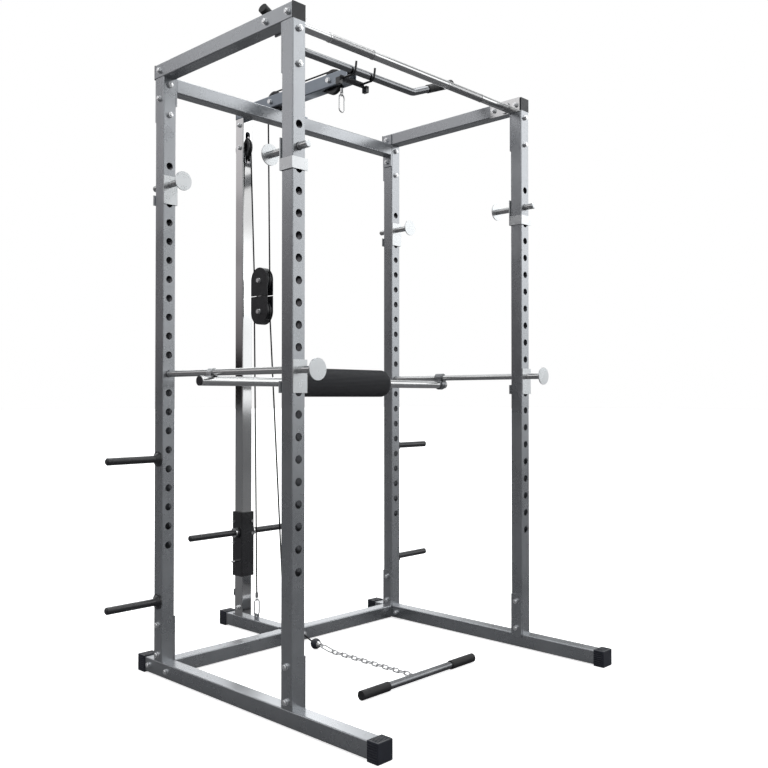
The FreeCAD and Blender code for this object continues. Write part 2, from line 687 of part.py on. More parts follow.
# ---------------------------------------------------------------- knee hold-down
def saddle(name, x, width, wall):
    """An inverted U over a safety rod, open towards the hold-down tube below."""
    rod = "(pin_dia / 2 + strap_gap / 2)"
    outer = f"({rod} + {wall})"
    drop = "(z_safety - z_hold)"
    dome = cylinder(name + "_dome", [x, "y_hold", "z_safety"], outer, width, "y")
    legs = box(name + "_legs", [x, "y_hold", f"z_safety - {drop} / 2"], [f"2 * {outer}", width, drop])
    bore = cylinder(name + "_bore", [x, "y_hold", "z_safety"], rod, f"{width} + 4", "y")
    throat = box(name + "_throat", [x, "y_hold", f"z_safety - {drop} / 2"], [f"2 * {rod}", f"{width} + 4", drop])
    core = cylinder(name + "_core", [x, "y_hold", "z_hold"], "hold_dia / 2", "120", "x")
    return cut(name, fuse(name + "_solid", [dome, legs]), [bore, throat, core])


def build_hold_down():
    middle = "(hold_right - hold_left) / 2"
    length = "hold_right + hold_left"
    axis = [middle, "y_hold", "z_hold"]
    outer = cylinder("hold_outer", axis, "hold_dia / 2", length, "x")
    inner = cylinder("hold_inner", axis, "hold_dia / 2 - tube_wall", f"{length} + 4", "x")
    keep(cut("hold_tube", outer, [inner]), "hold_down_tube")
    keep(saddle("left_saddle", "-x_side", "clip_width", "3"), "hold_down_clip")
    right = saddle("right_saddle", "x_side", "clamp_width", "7")
    right_axis = ["x_side", "y_hold", "z_hold"]
    band = cylinder("clamp_band", right_axis, "hold_dia / 2 + 5", "20", "x")
    rod_room = cylinder("clamp_rod_room", ["x_side", "y_hold", "z_safety"], "pin_dia / 2 + strap_gap / 2", "80", "y")
    pinch = cylinder("clamp_pinch", right_axis, "hold_dia / 2", "60", "x")
    keep(cut("right_clamp", fuse("clamp_solid", [right, band]), [pinch, rod_room]), "hold_down_clamp")
    ends = []
    for name, x, way in (("left", "-hold_left", -1), ("right", "hold_right", 1)):
        lip = cylinder(f"hold_lip_{name}", [f"{x} + {way} * 2", "y_hold", "z_hold"], "hold_dia / 2", "4", "x")
        core = cylinder(f"hold_core_{name}", [f"{x} - {way} * 7", "y_hold", "z_hold"],
                        "hold_dia / 2 - tube_wall", "14", "x")
        ends.append(fuse(f"hold_plug_{name}", [lip, core]))
    keep(group("hold_plugs", ends), "hold_down_plugs")
    foam = Part.makeCylinder(size("roller_dia") / 2, size("roller_length"),
                             Vector(-size("roller_length") / 2, 0, 0), Vector(1, 0, 0))
    rims = [e for e in foam.Edges if isinstance(e.Curve, Part.Circle)]
    foam = foam.makeFillet(min(size("roller_end"), (size("roller_dia") - size("hold_dia")) / 2 - 1), rims)
    foam = foam.cut(Part.makeCylinder(size("hold_dia") / 2 + 0.3, size("roller_length") + 4,
                                      Vector(-size("roller_length") / 2 - 2, 0, 0), Vector(1, 0, 0)))
    roller = keep_shape(foam, "foam_roller")
    roller.Placement = Placement(Vector(0, size("y_hold"), size("z_hold")), Rotation())


# ---------------------------------------------------------------- tower
def build_base_beam():
    start = ["0", "y_back + plate", "z_rail_mid"]
    beam = tube("beam", "y", start, "tower_reach - plate - boot_wall")
    front = box("beam_plate", ["0", "y_back + plate / 2", "z_rail_mid"], ["124", "plate", "tube - 4"])
    spigot = box("beam_spigot", ["0", "y_post", "z_rail_top + 34"], ["tube - 2 * tube_wall - 0.6"] * 2 + ["68 + 4"])
    anchor = box("beam_anchor", ["0", "y_block + 30", "z_rail_top + 9"], ["5", "26", "22"])
    eye = cylinder("beam_anchor_eye", ["0", "y_block + 30", "z_rail_top + 11"], "5", "9", "x")
    y = "y_post + tube / 2 + 4"
    stem = box("bumper_stem", ["0", y, "z_rail_top + 39"], ["30", "6", "82"])
    foot = box("bumper_foot", ["0", f"{y} + 6", "z_rail_top + 1.5"], ["36", "18", "7"])
    shelf = box("bumper_shelf", ["0", f"{y} + 5", "z_rail_top + 78"], ["30", "16", "4"])
    pieces = [beam, front, spigot, anchor, stem, foot, shelf]
    drilled(cut("beam_done", fuse("beam_welded", pieces), [eye]), "tower_base_beam")
    keep(box("bumper_block", ["0", f"{y} + 5", "z_rail_top + 92"], ["32", "18", "24"]), "bumper_pad")


def build_guide_post():
    body = hollow("post_tube", "z_boom - z_rail_top")
    laid(body, "z", "0", "y_post", "z_rail_top")
    reach = "tube + 20"
    slot = box("post_slot_box", ["0", "y_post", "z_post_wheel"], ["slot_width", reach, "post_slot - slot_width"])
    rounds = [cylinder(f"post_slot_end_{way}", ["0", "y_post", f"z_post_wheel + {way} * (post_slot - slot_width) / 2"],
                       "slot_width / 2", reach, "y") for way in (-1, 1)]
    axle = cylinder("post_axle_hole", ["0", "y_post", "z_post_wheel"], "bolt_hole / 2", reach, "x")
    drilled(cut("post_slotted", body, [slot] + rounds + [axle]), "guide_post")


def build_boom():
    """The top boom: slotted for two pulleys, rounded at its front, standing on the crossmember."""
    beam = tube("boom_tube", "y", ["0", "y_boom_front", "z_boom_mid"], "y_boom_rear - plug_lip - y_boom_front")
    nose_cut = box("boom_nose_block", ["0", "y_boom_front + 8", "z_boom_mid"], ["tube + 2", "18", "tube + 2"])
    nose_keep = cylinder("boom_nose_round", ["0", "y_boom_front + tube / 2 - 1", "z_boom_mid"],
                         "tube / 2 + 0.5", "tube + 4", "x")
    nose = cut("boom_nose_cutter", nose_cut, [nose_keep])
    slots = []
    for spot, y in (("front", "y_wheel_front"), ("rear", "y_wheel_rear")):
        slots.append(box(f"boom_slot_{spot}", ["0", y, "z_boom_mid"],
                         ["slot_width", "2 * (belt_radius + rim_over) + 14", "tube + 10"]))
        slots.append(cylinder(f"boom_axle_hole_{spot}", ["0", y, "z_boom_mid"], "bolt_hole / 2", "tube + 10", "x"))
    stand = box("boom_stand", ["0", "y_rear_mid", "z_boom - (boom_gap + cross_drop) / 2 + 1"],
                ["tube - 4", "tube - 4", "boom_gap + cross_drop + 2"])
    stand_void = box("boom_stand_void", ["0", "y_rear_mid", "z_boom - (boom_gap + cross_drop) / 2"],
                     ["tube - 10", "tube - 10", "boom_gap + cross_drop + 1"])
    flange = box("boom_stand_foot", ["0", "y_rear_mid", "cage_height - cross_drop + 2.5"], ["120", "tube - 4", "5"])
    spigot = box("boom_spigot", ["0", "y_post - 1", "z_boom - 26"],
                 ["tube - 2 * tube_wall - 0.6", "tube - 2 * tube_wall - 2.6", "54"])
    shell = cut("boom_slotted", beam, [nose] + slots)
    drilled(fuse("boom_welded", [shell, cut("boom_stand_shell", stand, [stand_void]), flange, spigot]), "top_boom")


def wheel(label, centre, belt, thickness="wheel_width"):
    """A grooved pulley with a hub and a recessed web on both sides."""
    rim = f"({belt} + rim_over)"
    disc = cylinder(label + "_disc", centre, rim, thickness, "x")
    groove = torus(label + "_groove", centre, belt, "cable_dia / 2 + groove_gap", "x")
    bore = cylinder(label + "_bore", centre, "axle_dia / 2 + axle_gap", f"{thickness} + 4", "x")
    recesses = []
    for way in (-1, 1):
        side = shifted(centre, "x", f"{way} * ({thickness} / 2)")
        recesses.append(cut(f"{label}_recess_{way + 1}",
                            cylinder(f"{label}_dish_{way + 1}", side, f"{belt} - 10", "8", "x"),
                            [cylinder(f"{label}_hub_{way + 1}", side, "12", "10", "x")]))
    keep(cut(label + "_turned", disc, [groove, bore] + recesses), label)


def axle(name, centre, span, head_side=-1):
    """A pulley axle bolt with head, washer and nut over a span across X."""
    shank = cylinder(name + "_shank", shifted(centre, "x", "3"), "axle_dia / 2", f"{span} + 16 + 6", "x")
    items = [shank]
    for way in (-1, 1):
        items.append(cylinder(f"{name}_washer_{way + 1}", shifted(centre, "x", f"{way} * (({span}) / 2 + washer_thick / 2)"),
                              "washer_dia / 2", "washer_thick", "x"))
        items.append(hexagon(f"{name}_hex_{way + 1}", shifted(centre, "x", f"{way} * (({span}) / 2 + washer_thick + 3.5)"),
                             "7", "x"))
    return fuse(name, items)


def build_pulleys():
    spots = {"boom_pulley_front": ["0", "y_wheel_front", "z_boom_mid"],
             "boom_pulley_rear": ["0", "y_wheel_rear", "z_boom_mid"],
             "post_pulley": ["0", "y_post", "z_post_wheel"],
             "low_pulley": ["0", "y_low_wheel", "z_low_wheel"]}
    for label, centre in spots.items():
        wheel(label, centre, "belt_radius")
    spans = {"boom_pulley_front": "tube", "boom_pulley_rear": "tube", "post_pulley": "tube", "low_pulley": "34",
             "block_high": "block_thick", "block_low": "block_thick"}
    spots["block_high"] = ["0", "y_block", "z_block_high"]
    spots["block_low"] = ["0", "y_block", "z_block_low"]
    keep(group("frame_axles", [axle(f"axle_{label}", spots[label], span) for label, span in spans.items()]),
         "pulley_axles")


def build_low_bracket():
    """Two cheeks on a foot plate, over the joint of the base beam and the crossmember."""
    foot = box("low_foot", ["0", "y_low_wheel + 12", "z_rail_top + 2"], ["64", "44", "4"])
    cheeks = []
    for side, sign in SIDES.items():
        x = f"{sign} * 15"
        round_top = cylinder(f"low_round_{side}", [x, "y_low_wheel", "z_low_wheel"], "22", "4", "x")
        web = box(f"low_web_{side}", [x, "y_low_wheel + 6", "z_rail_top + low_wheel_rise / 2"], ["4", "32", "low_wheel_rise"])
        cheeks += [round_top, web]
    bore = cylinder("low_bore", ["0", "y_low_wheel", "z_low_wheel"], "axle_dia / 2", "60", "x")
    keep(cut("low_bracket", fuse("low_bracket_welded", [foot] + cheeks), [bore]), "low_pulley_bracket")


def build_block():
    """The floating double pulley block: a strap each side, a cover over each wheel."""
    covers = []
    for spot, z, way in (("upper", "z_block_high", 1), ("lower", "z_block_low", -1)):
        name = f"block_cover_{spot}"
        centre = ["0", "y_block", z]
        inner = "(block_thick - 2 * cover_wall)"
        half = "(block_spacing / 2 - 1.5)"
        leg = shifted(centre, "z", f"-{way} * {half} / 2")
        solid = fuse(name + "_solid", [cylinder(name + "_round", centre, "cover_radius", "block_thick", "x"),
                                       box(name + "_leg", leg, ["block_thick", "2 * cover_radius", half])])
        trim = box(name + "_trim", shifted(centre, "z", f"-{way} * ({half} + 60)"), ["block_thick + 4", "140", "120"])
        hollow_round = cylinder(name + "_room", centre, "cover_radius - 1.6", inner, "x")
        hollow_leg = box(name + "_leg_room", shifted(centre, "z", f"-{way} * 50"), [inner, "2 * cover_radius + 4", "100"])
        doors = [box(f"{name}_door_{way_y + 1}", [f"0", f"y_block + {way_y} * block_radius", f"{z} + {way} * 30"],
                     [inner, "22", "80"]) for way_y in (-1, 1)]
        bore = cylinder(name + "_bore", centre, "axle_dia / 2", "block_thick + 4", "x")
        covers.append(cut(name, solid, [trim, hollow_round, hollow_leg, bore] + doors))
        wheel(f"block_wheel_{spot}", centre, "block_radius")
    keep(group("block_cover_pair", covers), "block_covers")
    straps = []
    for side, sign in SIDES.items():
        x = f"{sign} * (block_thick / 2 - cover_wall - 1.25)"
        bar = box(f"block_strap_{side}", [x, "y_block", "block_height"], ["2.5", "22", "block_spacing + 22"])
        bores = [cylinder(f"block_strap_bore_{spot}_{side}", [x, "y_block", z], "axle_dia / 2", "10", "x")
                 for spot, z in (("high", "z_block_high"), ("low", "z_block_low"))]
        straps.append(cut(f"block_strap_{side}_cut", bar, bores))
    keep(group("block_strap_pair", straps), "block_straps")


def build_carriage():
    z_mid = "carriage_height + sleeve_height / 2"
    outer = hollow("sleeve_tube", "sleeve_height", "sleeve", "sleeve_wall", "tube_corner")
    laid(outer, "z", "0", "y_post", "carriage_height")
    lug = box("cable_lug", ["0", "y_post + sleeve / 2 + 12", f"{z_mid} + 40"], ["12", "30", "16"])
    lug_bore = cylinder("cable_lug_bore", ["0", "y_post + belt_radius", f"{z_mid} + 40"], "cable_dia / 2 + 0.3", "30", "z")
    keep(cut("sleeve_done", fuse("sleeve_welded", [outer, lug]), [lug_bore]), "carriage_sleeve")
    liners = []
    for spot, z in (("low", "carriage_height + liner_height / 2 + 2"),
                    ("high", "carriage_height + sleeve_height - liner_height / 2 - 2")):
        block = box(f"liner_block_{spot}", ["0", "y_post", z], ["sleeve - 2 * sleeve_wall"] * 2 + ["liner_height"])
        core = box(f"liner_core_{spot}", ["0", "y_post", z], ["tube + 2 * slide_gap"] * 2 + ["liner_height + 2"])
        liners.append(cut(f"liner_{spot}", block, [core]))
    keep(group("liner_pair", liners), "slide_liners")
    pegs = []
    for side, sign in SIDES.items():
        root = [f"{sign} * sleeve / 2", "y_post", "z_weight_peg"]
        name = f"weight_peg_{side}"
        flange = cylinder(name + "_flange", shifted(root, "x", f"{sign} * 4"), "24", "8", "x")
        rod = cylinder(name + "_rod", shifted(root, "x", f"{sign} * (weight_peg - 4) / 2"), "peg_dia / 2", "weight_peg - 4", "x")
        radii = ("peg_dia / 2", "peg_dia / 2 - 4") if sign > 0 else ("peg_dia / 2 - 4", "peg_dia / 2")
        tip = cone(name + "_tip", shifted(root, "x", f"{sign} * (weight_peg - 2)"), *radii, "4", "x")
        pegs.append(fuse(name + "_welded", [flange, rod, tip]))
    keep(group("weight_peg_pair", pegs), "weight_pegs")
    collars = []
    for side, sign in SIDES.items():
        at_collar = [f"{sign} * (sleeve / 2 + 12.2)", "y_post", "z_weight_peg"]
        ring = cylinder(f"collar_ring_{side}", at_collar, "20", "8", "x")
        hole = cylinder(f"collar_hole_{side}", at_collar, "peg_dia / 2", "12", "x")
        collars.append(cut(f"collar_{side}", ring, [hole]))
    keep(group("collar_pair", collars), "spring_collars")
    stud = cylinder("stop_pin_stud", ["-(sleeve / 2 + 7)", "y_post", "carriage_height + 62"], "5", "14", "x")
    spike = cone("stop_pin_spike", ["-(sleeve / 2 + 24)", "y_post", "carriage_height + 62"], "1.5", "5", "20", "x")
    heads = [fuse("stop_pin_turned", [stud, spike])]
    for index, (front_rise, left_rise) in enumerate(((226, 222), (176, 136))):
        heads.append(cylinder(f"carriage_head_front_{index}",
                              ["20", "y_post - sleeve / 2 - 3", f"carriage_height + {front_rise}"], "6", "6", "y"))
        heads.append(cylinder(f"carriage_head_left_{index}",
                              ["-(sleeve / 2 + 2)", "y_post + 20", f"carriage_height + {left_rise}"], "6", "4", "x"))
    keep(group("carriage_heads", heads), "carriage_fittings")


# ---------------------------------------------------------------- cables
SNAP_LONG, SNAP_WIDE, SNAP_WIRE = 70.0, 30.0, 5.0
HOOK_DROP, EYE_RISE = 7.5, 15.7
CRIMP_RISE, CRIMP_LENGTH = EYE_RISE + HOOK_DROP + SNAP_LONG - 1.5 * SNAP_WIRE, 20.0
LINK_SLACK = 0.5
EYE_SEAT, LINK_SEAT = 1.6, 2.4


def tangent(first, second):
    """The straight run from one wheel to the next: its start and end points in the YZ plane.

    A wheel is (y, z, radius, turn): turn is 1 where the cable goes round it with its centre on
    the cable's left, -1 where the centre is on its right, and radius 0 is a plain end point.
    """
    y1, z1, r1, t1 = first
    y2, z2, r2, t2 = second
    dy, dz = y2 - y1, z2 - z1
    distance = math.hypot(dy, dz)
    heading = math.atan2(dz, dy) + math.asin((r1 * t1 - r2 * t2) / distance)
    ny, nz = math.sin(heading), -math.cos(heading)
    start = (y1 + ny * r1 * t1, z1 + nz * r1 * t1)
    end = (y2 + ny * r2 * t2, z2 + nz * r2 * t2)
    return start, end


def cable(label, stops, wheels_dia="cable_dia"):
    """A cable in the middle plane over its wheels, as straight runs and arcs of the wheels' size."""
    runs = [tangent(a, b) for a, b in zip(stops, stops[1:])]
    edges = []
    for index, (start, end) in enumerate(runs):
        edges.append(Part.LineSegment(Vector(0, *start), Vector(0, *end)).toShape())
        if index + 1 < len(runs):
            y, z, radius, turn = stops[index + 1]
            after = runs[index + 1][0]
            a1 = math.atan2(end[1] - z, end[0] - y)
            a2 = math.atan2(after[1] - z, after[0] - y)
            sweep = (a2 - a1) % (2 * math.pi) if turn > 0 else -((a1 - a2) % (2 * math.pi))
            middle = a1 + sweep / 2
            mid = Vector(0, y + radius * math.cos(middle), z + radius * math.sin(middle))
            edges.append(Part.Arc(Vector(0, *end), mid, Vector(0, *after)).toShape())
    path = Part.Wire(edges)
    first = runs[0]
    direction = Vector(0, first[1][0] - first[0][0], first[1][1] - first[0][1])
    circle = Part.Wire([Part.makeCircle(size(wheels_dia) / 2, Vector(0, *first[0]), direction)])
    shape = path.makePipeShell([circle], True, False)
    print(label, "length", round(path.Length, 1), "volume ratio",
          round(shape.Volume / (math.pi * size(wheels_dia) ** 2 / 4 * path.Length), 3))
    return keep_shape(shape, label)


def straight_cable(label, y, z_low, z_high):
    centre = ["0", y, f"(({z_low}) + ({z_high})) / 2"]
    return keep(cylinder(label + "_rope", centre, "cable_dia / 2", f"({z_high}) - ({z_low})", "z"), label)


def build_cables():
    belt, big = size("belt_radius"), size("block_radius")
    y_drop = size("y_wheel_front") - belt
    cable("upper_cable", [
        (y_drop, size("z_boom_mid") - 0.5, 0, 1),
        (size("y_wheel_front"), size("z_boom_mid"), belt, -1),
        (size("y_wheel_rear"), size("z_boom_mid"), belt, -1),
        (size("y_block"), size("z_block_high"), big, 1),
        (size("y_post"), size("z_post_wheel"), belt, -1),
        (size("y_post") + belt, size("z_post_wheel") - 0.5, 0, 1)])
    cable("lower_cable", [
        (size("y_block") + 30, size("z_rail_top") + CRIMP_RISE + CRIMP_LENGTH, 0, 1),
        (size("y_block"), size("z_block_low"), big, 1),
        (size("y_low_wheel"), size("z_low_wheel"), belt, -1),
        (size("y_ball") + 14, size("z_ball") + 2, 0, 1)])
    straight_cable("lat_cable_drop", "y_wheel_front - belt_radius", "z_boom - 10", "z_boom_mid - 1")
    straight_cable("carriage_cable_drop", "y_post + belt_radius",
                   "carriage_height + sleeve_height / 2 + 20", "z_post_wheel - 1")


# ---------------------------------------------------------------- cable ends, chain and bars
def swept(points, radius, closed=False):
    """A round wire along straight runs and tangent arcs; each point is (vector, bend radius)."""
    count = len(points)
    corners = []
    for index, (spot, bend) in enumerate(points):
        if not closed and index in (0, count - 1):
            corners.append((spot, None, spot))
            continue
        before = (points[index - 1][0] - spot).normalize()
        after = (points[(index + 1) % count][0] - spot).normalize()
        half = before.getAngle(after) / 2
        reach = bend / math.tan(half)
        middle = (before + after).normalize()
        depth = bend / math.sin(half) - bend
        corners.append((spot + before * reach, spot + middle * depth, spot + after * reach))
    edges = []
    for index in range(count if closed else count - 1):
        leave, enter = corners[index][2], corners[(index + 1) % count][0]
        if (enter - leave).Length > 1e-6:
            edges.append(Part.LineSegment(leave, enter).toShape())
        arc = corners[(index + 1) % count]
        if arc[1] is not None:
            edges.append(Part.Arc(arc[0], arc[1], arc[2]).toShape())
    path = Part.Wire(edges)
    start = edges[0].valueAt(edges[0].FirstParameter)
    direction = edges[0].tangentAt(edges[0].FirstParameter)
    circle = Part.Wire([Part.makeCircle(radius, start, direction)])
    return path.makePipeShell([circle], True, False)


def loop_shape(long_outer, wide_outer, wire):
    """A closed oval wire loop in the XY plane, long along Y, centred on the origin."""
    half_long, half_wide = (long_outer - wire) / 2, (wide_outer - wire) / 2
    straight = half_long - half_wide
    edges = [
        Part.LineSegment(Vector(half_wide, -straight, 0), Vector(half_wide, straight, 0)).toShape(),
        Part.Arc(Vector(half_wide, straight, 0), Vector(0, half_long, 0), Vector(-half_wide, straight, 0)).toShape(),
        Part.LineSegment(Vector(-half_wide, straight, 0), Vector(-half_wide, -straight, 0)).toShape(),
        Part.Arc(Vector(-half_wide, -straight, 0), Vector(0, -half_long, 0), Vector(half_wide, -straight, 0)).toShape(),
    ]
    path = Part.Wire(edges)
    circle = Part.Wire([Part.makeCircle(wire / 2, Vector(half_wide, -straight, 0), Vector(0, 1, 0))])
    return path.makePipeShell([circle], True, False)


def ferrule(length, radius, wire):
    """A crimped cable end along +Z from the origin, with an eye below it."""
    sleeve = Part.makeCylinder(radius, length)
    eye = Part.makeTorus(6, wire / 2, Vector(0, 0, -6), Vector(1, 0, 0))
    return sleeve.fuse(eye)


def snap_hook():
    return loop_shape(SNAP_LONG, SNAP_WIDE, SNAP_WIRE)


def placed(shape, x, y, z, rotation=Rotation()):
    shape.Placement = Placement(Vector(x, y, z), rotation)
    return shape


def build_lat_end():
    y, top = size("y_wheel_front") - size("belt_radius"), size("z_boom") - 10
    crimp = placed(ferrule(16, 6, 3.4), 0, y, top - 16)
    z = top - 16 - HOOK_DROP - SNAP_LONG / 2 + SNAP_WIRE / 2
    hook = placed(snap_hook(), 0, y, z, Rotation(Vector(1, 0, 0), 90))
    keep_shape(Part.makeCompound([crimp, hook]), "lat_cable_end")


def build_row_end():
    """The ball stop and the cup of the row cable, and the crimped end at the base beam."""
    y, z, radius = size("y_ball"), size("z_ball"), size("ball_dia") / 2
    ball = Part.makeSphere(radius)
    rope = doc.getObject("lower_cable").Shape
    keep_shape(placed(ball.copy(), 0, y, z).cut(rope), "ball_stop")
    cup = Part.makeCone(13, 7, 12, Vector(0, 3 - radius, 0), Vector(0, -1, 0)).cut(ball)
    eye = Part.makeTorus(6, 1.7, Vector(0, -radius - 14, 0), Vector(1, 0, 0))
    row_end = placed(cup.fuse(eye), 0, y, z)
    anchor = placed(ferrule(CRIMP_LENGTH, 6, 3.4), 0, size("y_block") + 30, size("z_rail_top") + CRIMP_RISE)
    keep_shape(Part.makeCompound([row_end, anchor]), "cable_ends")


def build_chain():
    """Two snap hooks, then links that lie on the floor, each turned a quarter from the last."""
    y, z = size("y_ball") - size("ball_dia") / 2 - 14, size("z_chain")
    start = Vector(0, y, size("z_ball"))
    reach, drop = SNAP_LONG - 1.5 * SNAP_WIRE - EYE_SEAT - LINK_SEAT, z - start.z
    slope = Vector(0, -math.sqrt(reach ** 2 - drop ** 2), drop).normalize()
    centre = start + slope * (SNAP_LONG / 2 - SNAP_WIRE / 2 - EYE_SEAT)
    row_hook = placed(snap_hook(), *centre, Rotation(Vector(0, -1, 0), slope))
    anchor_z = size("z_rail_top") + CRIMP_RISE - HOOK_DROP - SNAP_LONG / 2 + SNAP_WIRE / 2
    anchor_hook = placed(snap_hook(), 0, size("y_block") + 30, anchor_z, Rotation(Vector(1, 0, 0), 90))
    keep_shape(Part.makeCompound([row_hook, anchor_hook]), "snap_hooks")
    pitch, wire = size("link_pitch"), size("link_wire")
    long_outer = pitch + LINK_SLACK + 2 * wire
    link = loop_shape(long_outer, size("link_width"), wire)
    first = centre.y + slope.y * (SNAP_LONG / 2 - SNAP_WIRE - LINK_SEAT) - (long_outer - wire) / 2
    links = []
    for index in range(int(size("link_count"))):
        spin = Rotation(Vector(0, 1, 0), 90 if index % 2 == 0 else 0)
        links.append(placed(link.copy(), 0, first - index * pitch, z, spin))
    keep_shape(Part.makeCompound(links), "row_chain")
    return first - (size("link_count") - 1) * pitch - (long_outer - wire) / 2


def build_row_bar(y_link_end):
    """A straight bar on the floor, with an eye in the middle that takes the last link."""
    radius, half, z = size("row_dia") / 2, size("row_half"), size("row_grip") / 2 + 0.5
    ring, wire = 7.0, 2.0
    eye_z, eye_y = ring + wire + 0.5, y_link_end - 2
    y = eye_y - ring - radius + 2
    bar = Part.makeCylinder(radius, 2 * half, Vector(-half, y, z), Vector(1, 0, 0))
    eye = Part.makeTorus(ring, wire, Vector(0, eye_y, eye_z), Vector(1, 0, 0))
    keep_shape(bar.fuse(eye), "row_bar")
    grips = []
    for sign in (-1, 1):
        start = Vector(sign * (half + 3), y, z)
        sleeve = Part.makeCylinder(size("row_grip") / 2, 125, start, Vector(-sign, 0, 0))
        inner = Part.makeCylinder(radius, 125, Vector(sign * half, y, z), Vector(-sign, 0, 0))
        grips.append(sleeve.cut(inner))
    keep_shape(Part.makeCompound(grips), "row_bar_grips")


def lat_points():
    y, z, half = size("y_lat"), size("z_lat"), size("lat_half")
    ends = [Vector(sign * (half + size("lat_end_x")), y - size("lat_end_y"), z + size("lat_end_z"))
            for sign in (-1, 1)]
    bends = [Vector(sign * half, y, z) for sign in (-1, 1)]
    return ends[0], bends[0], bends[1], ends[1]


def build_lat_bar():
    left, bend_left, bend_right, right = lat_points()
    radius, bend = size("lat_dia") / 2, size("lat_bend")
    keep_shape(swept([(left, 0), (bend_left, bend), (bend_right, bend), (right, 0)], radius), "lat_bar")
    grips = []
    for end, corner in ((left, bend_left), (right, bend_right)):
        inward = (corner - end).normalize()
        outer = Part.makeCylinder(radius + size("grip_wall"), size("grip_length") + 4, end - inward * 4, inward)
        inner = Part.makeCylinder(radius, size("grip_length") + 4, end, inward)
        grips.append(outer.cut(inner))
    keep_shape(Part.makeCompound(grips), "lat_bar_grips")


def build_bar_rest():
    """A cross plate on the boom's nose with two J hooks and rubber end blocks."""
    y, z = size("y_boom_front"), size("z_boom") + 6
    spread, wire = size("hook_spread"), size("hook_wire")
    plate = Part.makeBox(spread + 24, 6, 20, Vector(-(spread + 24) / 2, y - 6, z - 14))
    y_bar, z_bar, cradle = size("y_lat"), size("z_lat"), size("lat_dia") / 2 + wire / 2 + 0.5
    shape = plate
    for sign in (-1, 1):
        x = sign * spread / 2
        points = [(Vector(x, y - 3, z_bar - cradle), 0),
                  (Vector(x, y_bar - cradle, z_bar - cradle), cradle - 2),
                  (Vector(x, y_bar - cradle - 6, z_bar + cradle + 6), 0)]
        shape = shape.fuse(swept(points, wire / 2))
    blocks = [Part.makeBox(14, 22, 24, Vector(sign * (spread / 2 + 20) - 7, y - 16, z - 30)) for sign in (-1, 1)]
    keep_shape(Part.makeCompound([shape] + [block.cut(plate) for block in blocks]), "lat_bar_rest")


def build_fasteners():
    """Every frame bolt with its washer in one node, and every nut in another."""
    pairs = [bolt_solids(name, data) for name, data in BOLTS.items()]
    keep(group("all_bolts", [pair[0] for pair in pairs]), "frame_bolts")
    keep(group("all_nuts", [pair[1] for pair in pairs]), "frame_nuts")


# ---------------------------------------------------------------- build and write
list_bolts()
build_floor_rails()
build_uprights()
build_top_rails()
build_crossmembers()
build_pull_up_bar()
build_boots()
build_plugs()
build_storage_pegs()
build_hooks()
build_safety_bars()
build_hold_down()
build_base_beam()
build_guide_post()
build_boom()
build_pulleys()
build_low_bracket()
build_block()
build_carriage()
build_cables()
build_lat_end()
build_row_end()
build_row_bar(build_chain())
build_lat_bar()
build_bar_rest()
build_fasteners()
doc.recompute()

faults = [item.Name for item in doc.Objects if "Invalid" in item.State or "Error" in item.State]
faults += [item.Label for item in PARTS if item.Shape.isNull() or not item.Shape.isValid()]
if faults:
    raise RuntimeError("objects that did not build: " + ", ".join(faults))

os.makedirs("parts", exist_ok=True)
for item in PARTS:
    item.Shape.exportStep(f"parts/{item.Label}.step")
print(len(PARTS), "nodes written")
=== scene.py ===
"""Power cage with a lat and row tower: finishes, foam, cable runs, light and camera."""
import logging
import math
from dataclasses import dataclass, replace
from enum import Enum
from typing import Callable, Iterable, Sequence

import bmesh
import bpy
from mathutils import Matrix, Vector


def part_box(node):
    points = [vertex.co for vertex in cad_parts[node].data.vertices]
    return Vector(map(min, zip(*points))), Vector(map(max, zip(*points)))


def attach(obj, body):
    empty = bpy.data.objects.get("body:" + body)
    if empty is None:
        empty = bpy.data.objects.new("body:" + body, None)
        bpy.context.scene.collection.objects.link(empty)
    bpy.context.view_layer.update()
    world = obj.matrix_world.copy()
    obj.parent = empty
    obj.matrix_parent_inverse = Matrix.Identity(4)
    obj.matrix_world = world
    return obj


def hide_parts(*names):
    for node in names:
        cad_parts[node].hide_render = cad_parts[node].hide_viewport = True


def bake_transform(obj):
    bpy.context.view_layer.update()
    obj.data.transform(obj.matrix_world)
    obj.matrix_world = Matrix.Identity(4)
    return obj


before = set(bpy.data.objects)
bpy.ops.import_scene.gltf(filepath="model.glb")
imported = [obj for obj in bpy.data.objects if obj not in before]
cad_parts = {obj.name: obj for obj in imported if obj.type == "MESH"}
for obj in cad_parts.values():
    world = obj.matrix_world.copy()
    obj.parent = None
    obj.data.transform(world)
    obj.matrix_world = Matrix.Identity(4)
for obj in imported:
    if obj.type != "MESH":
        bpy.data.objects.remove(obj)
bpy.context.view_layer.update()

LOG = logging.getLogger("power_cage")
MM = 0.001

Colour = tuple[float, float, float]
Point = tuple[float, float, float]
Corners = tuple[Vector, Vector]
Node = bpy.types.Node
Socket = bpy.types.NodeSocket
Surface = tuple[Socket, Socket, Socket]

WHITE: Colour = (1.0, 1.0, 1.0)
BLACK: Colour = (0.0, 0.0, 0.0)
DUST_COLOUR: Colour = (0.52, 0.51, 0.49)
DUST_ROUGHNESS = 0.3
BUMP_DISTANCE = 1.0 * MM
STREAK_STRETCH = 0.012
STREAK_ROUGHNESS = 0.06
KNURL_TURNS = 30.0
FACING = 0.9
SQUARE_ON = 0.99
TOUCHING = 0.01 * MM


class Axis(Enum):
    """A main direction of the cage, by its place in a point."""

    X = 0
    Y = 1
    Z = 2


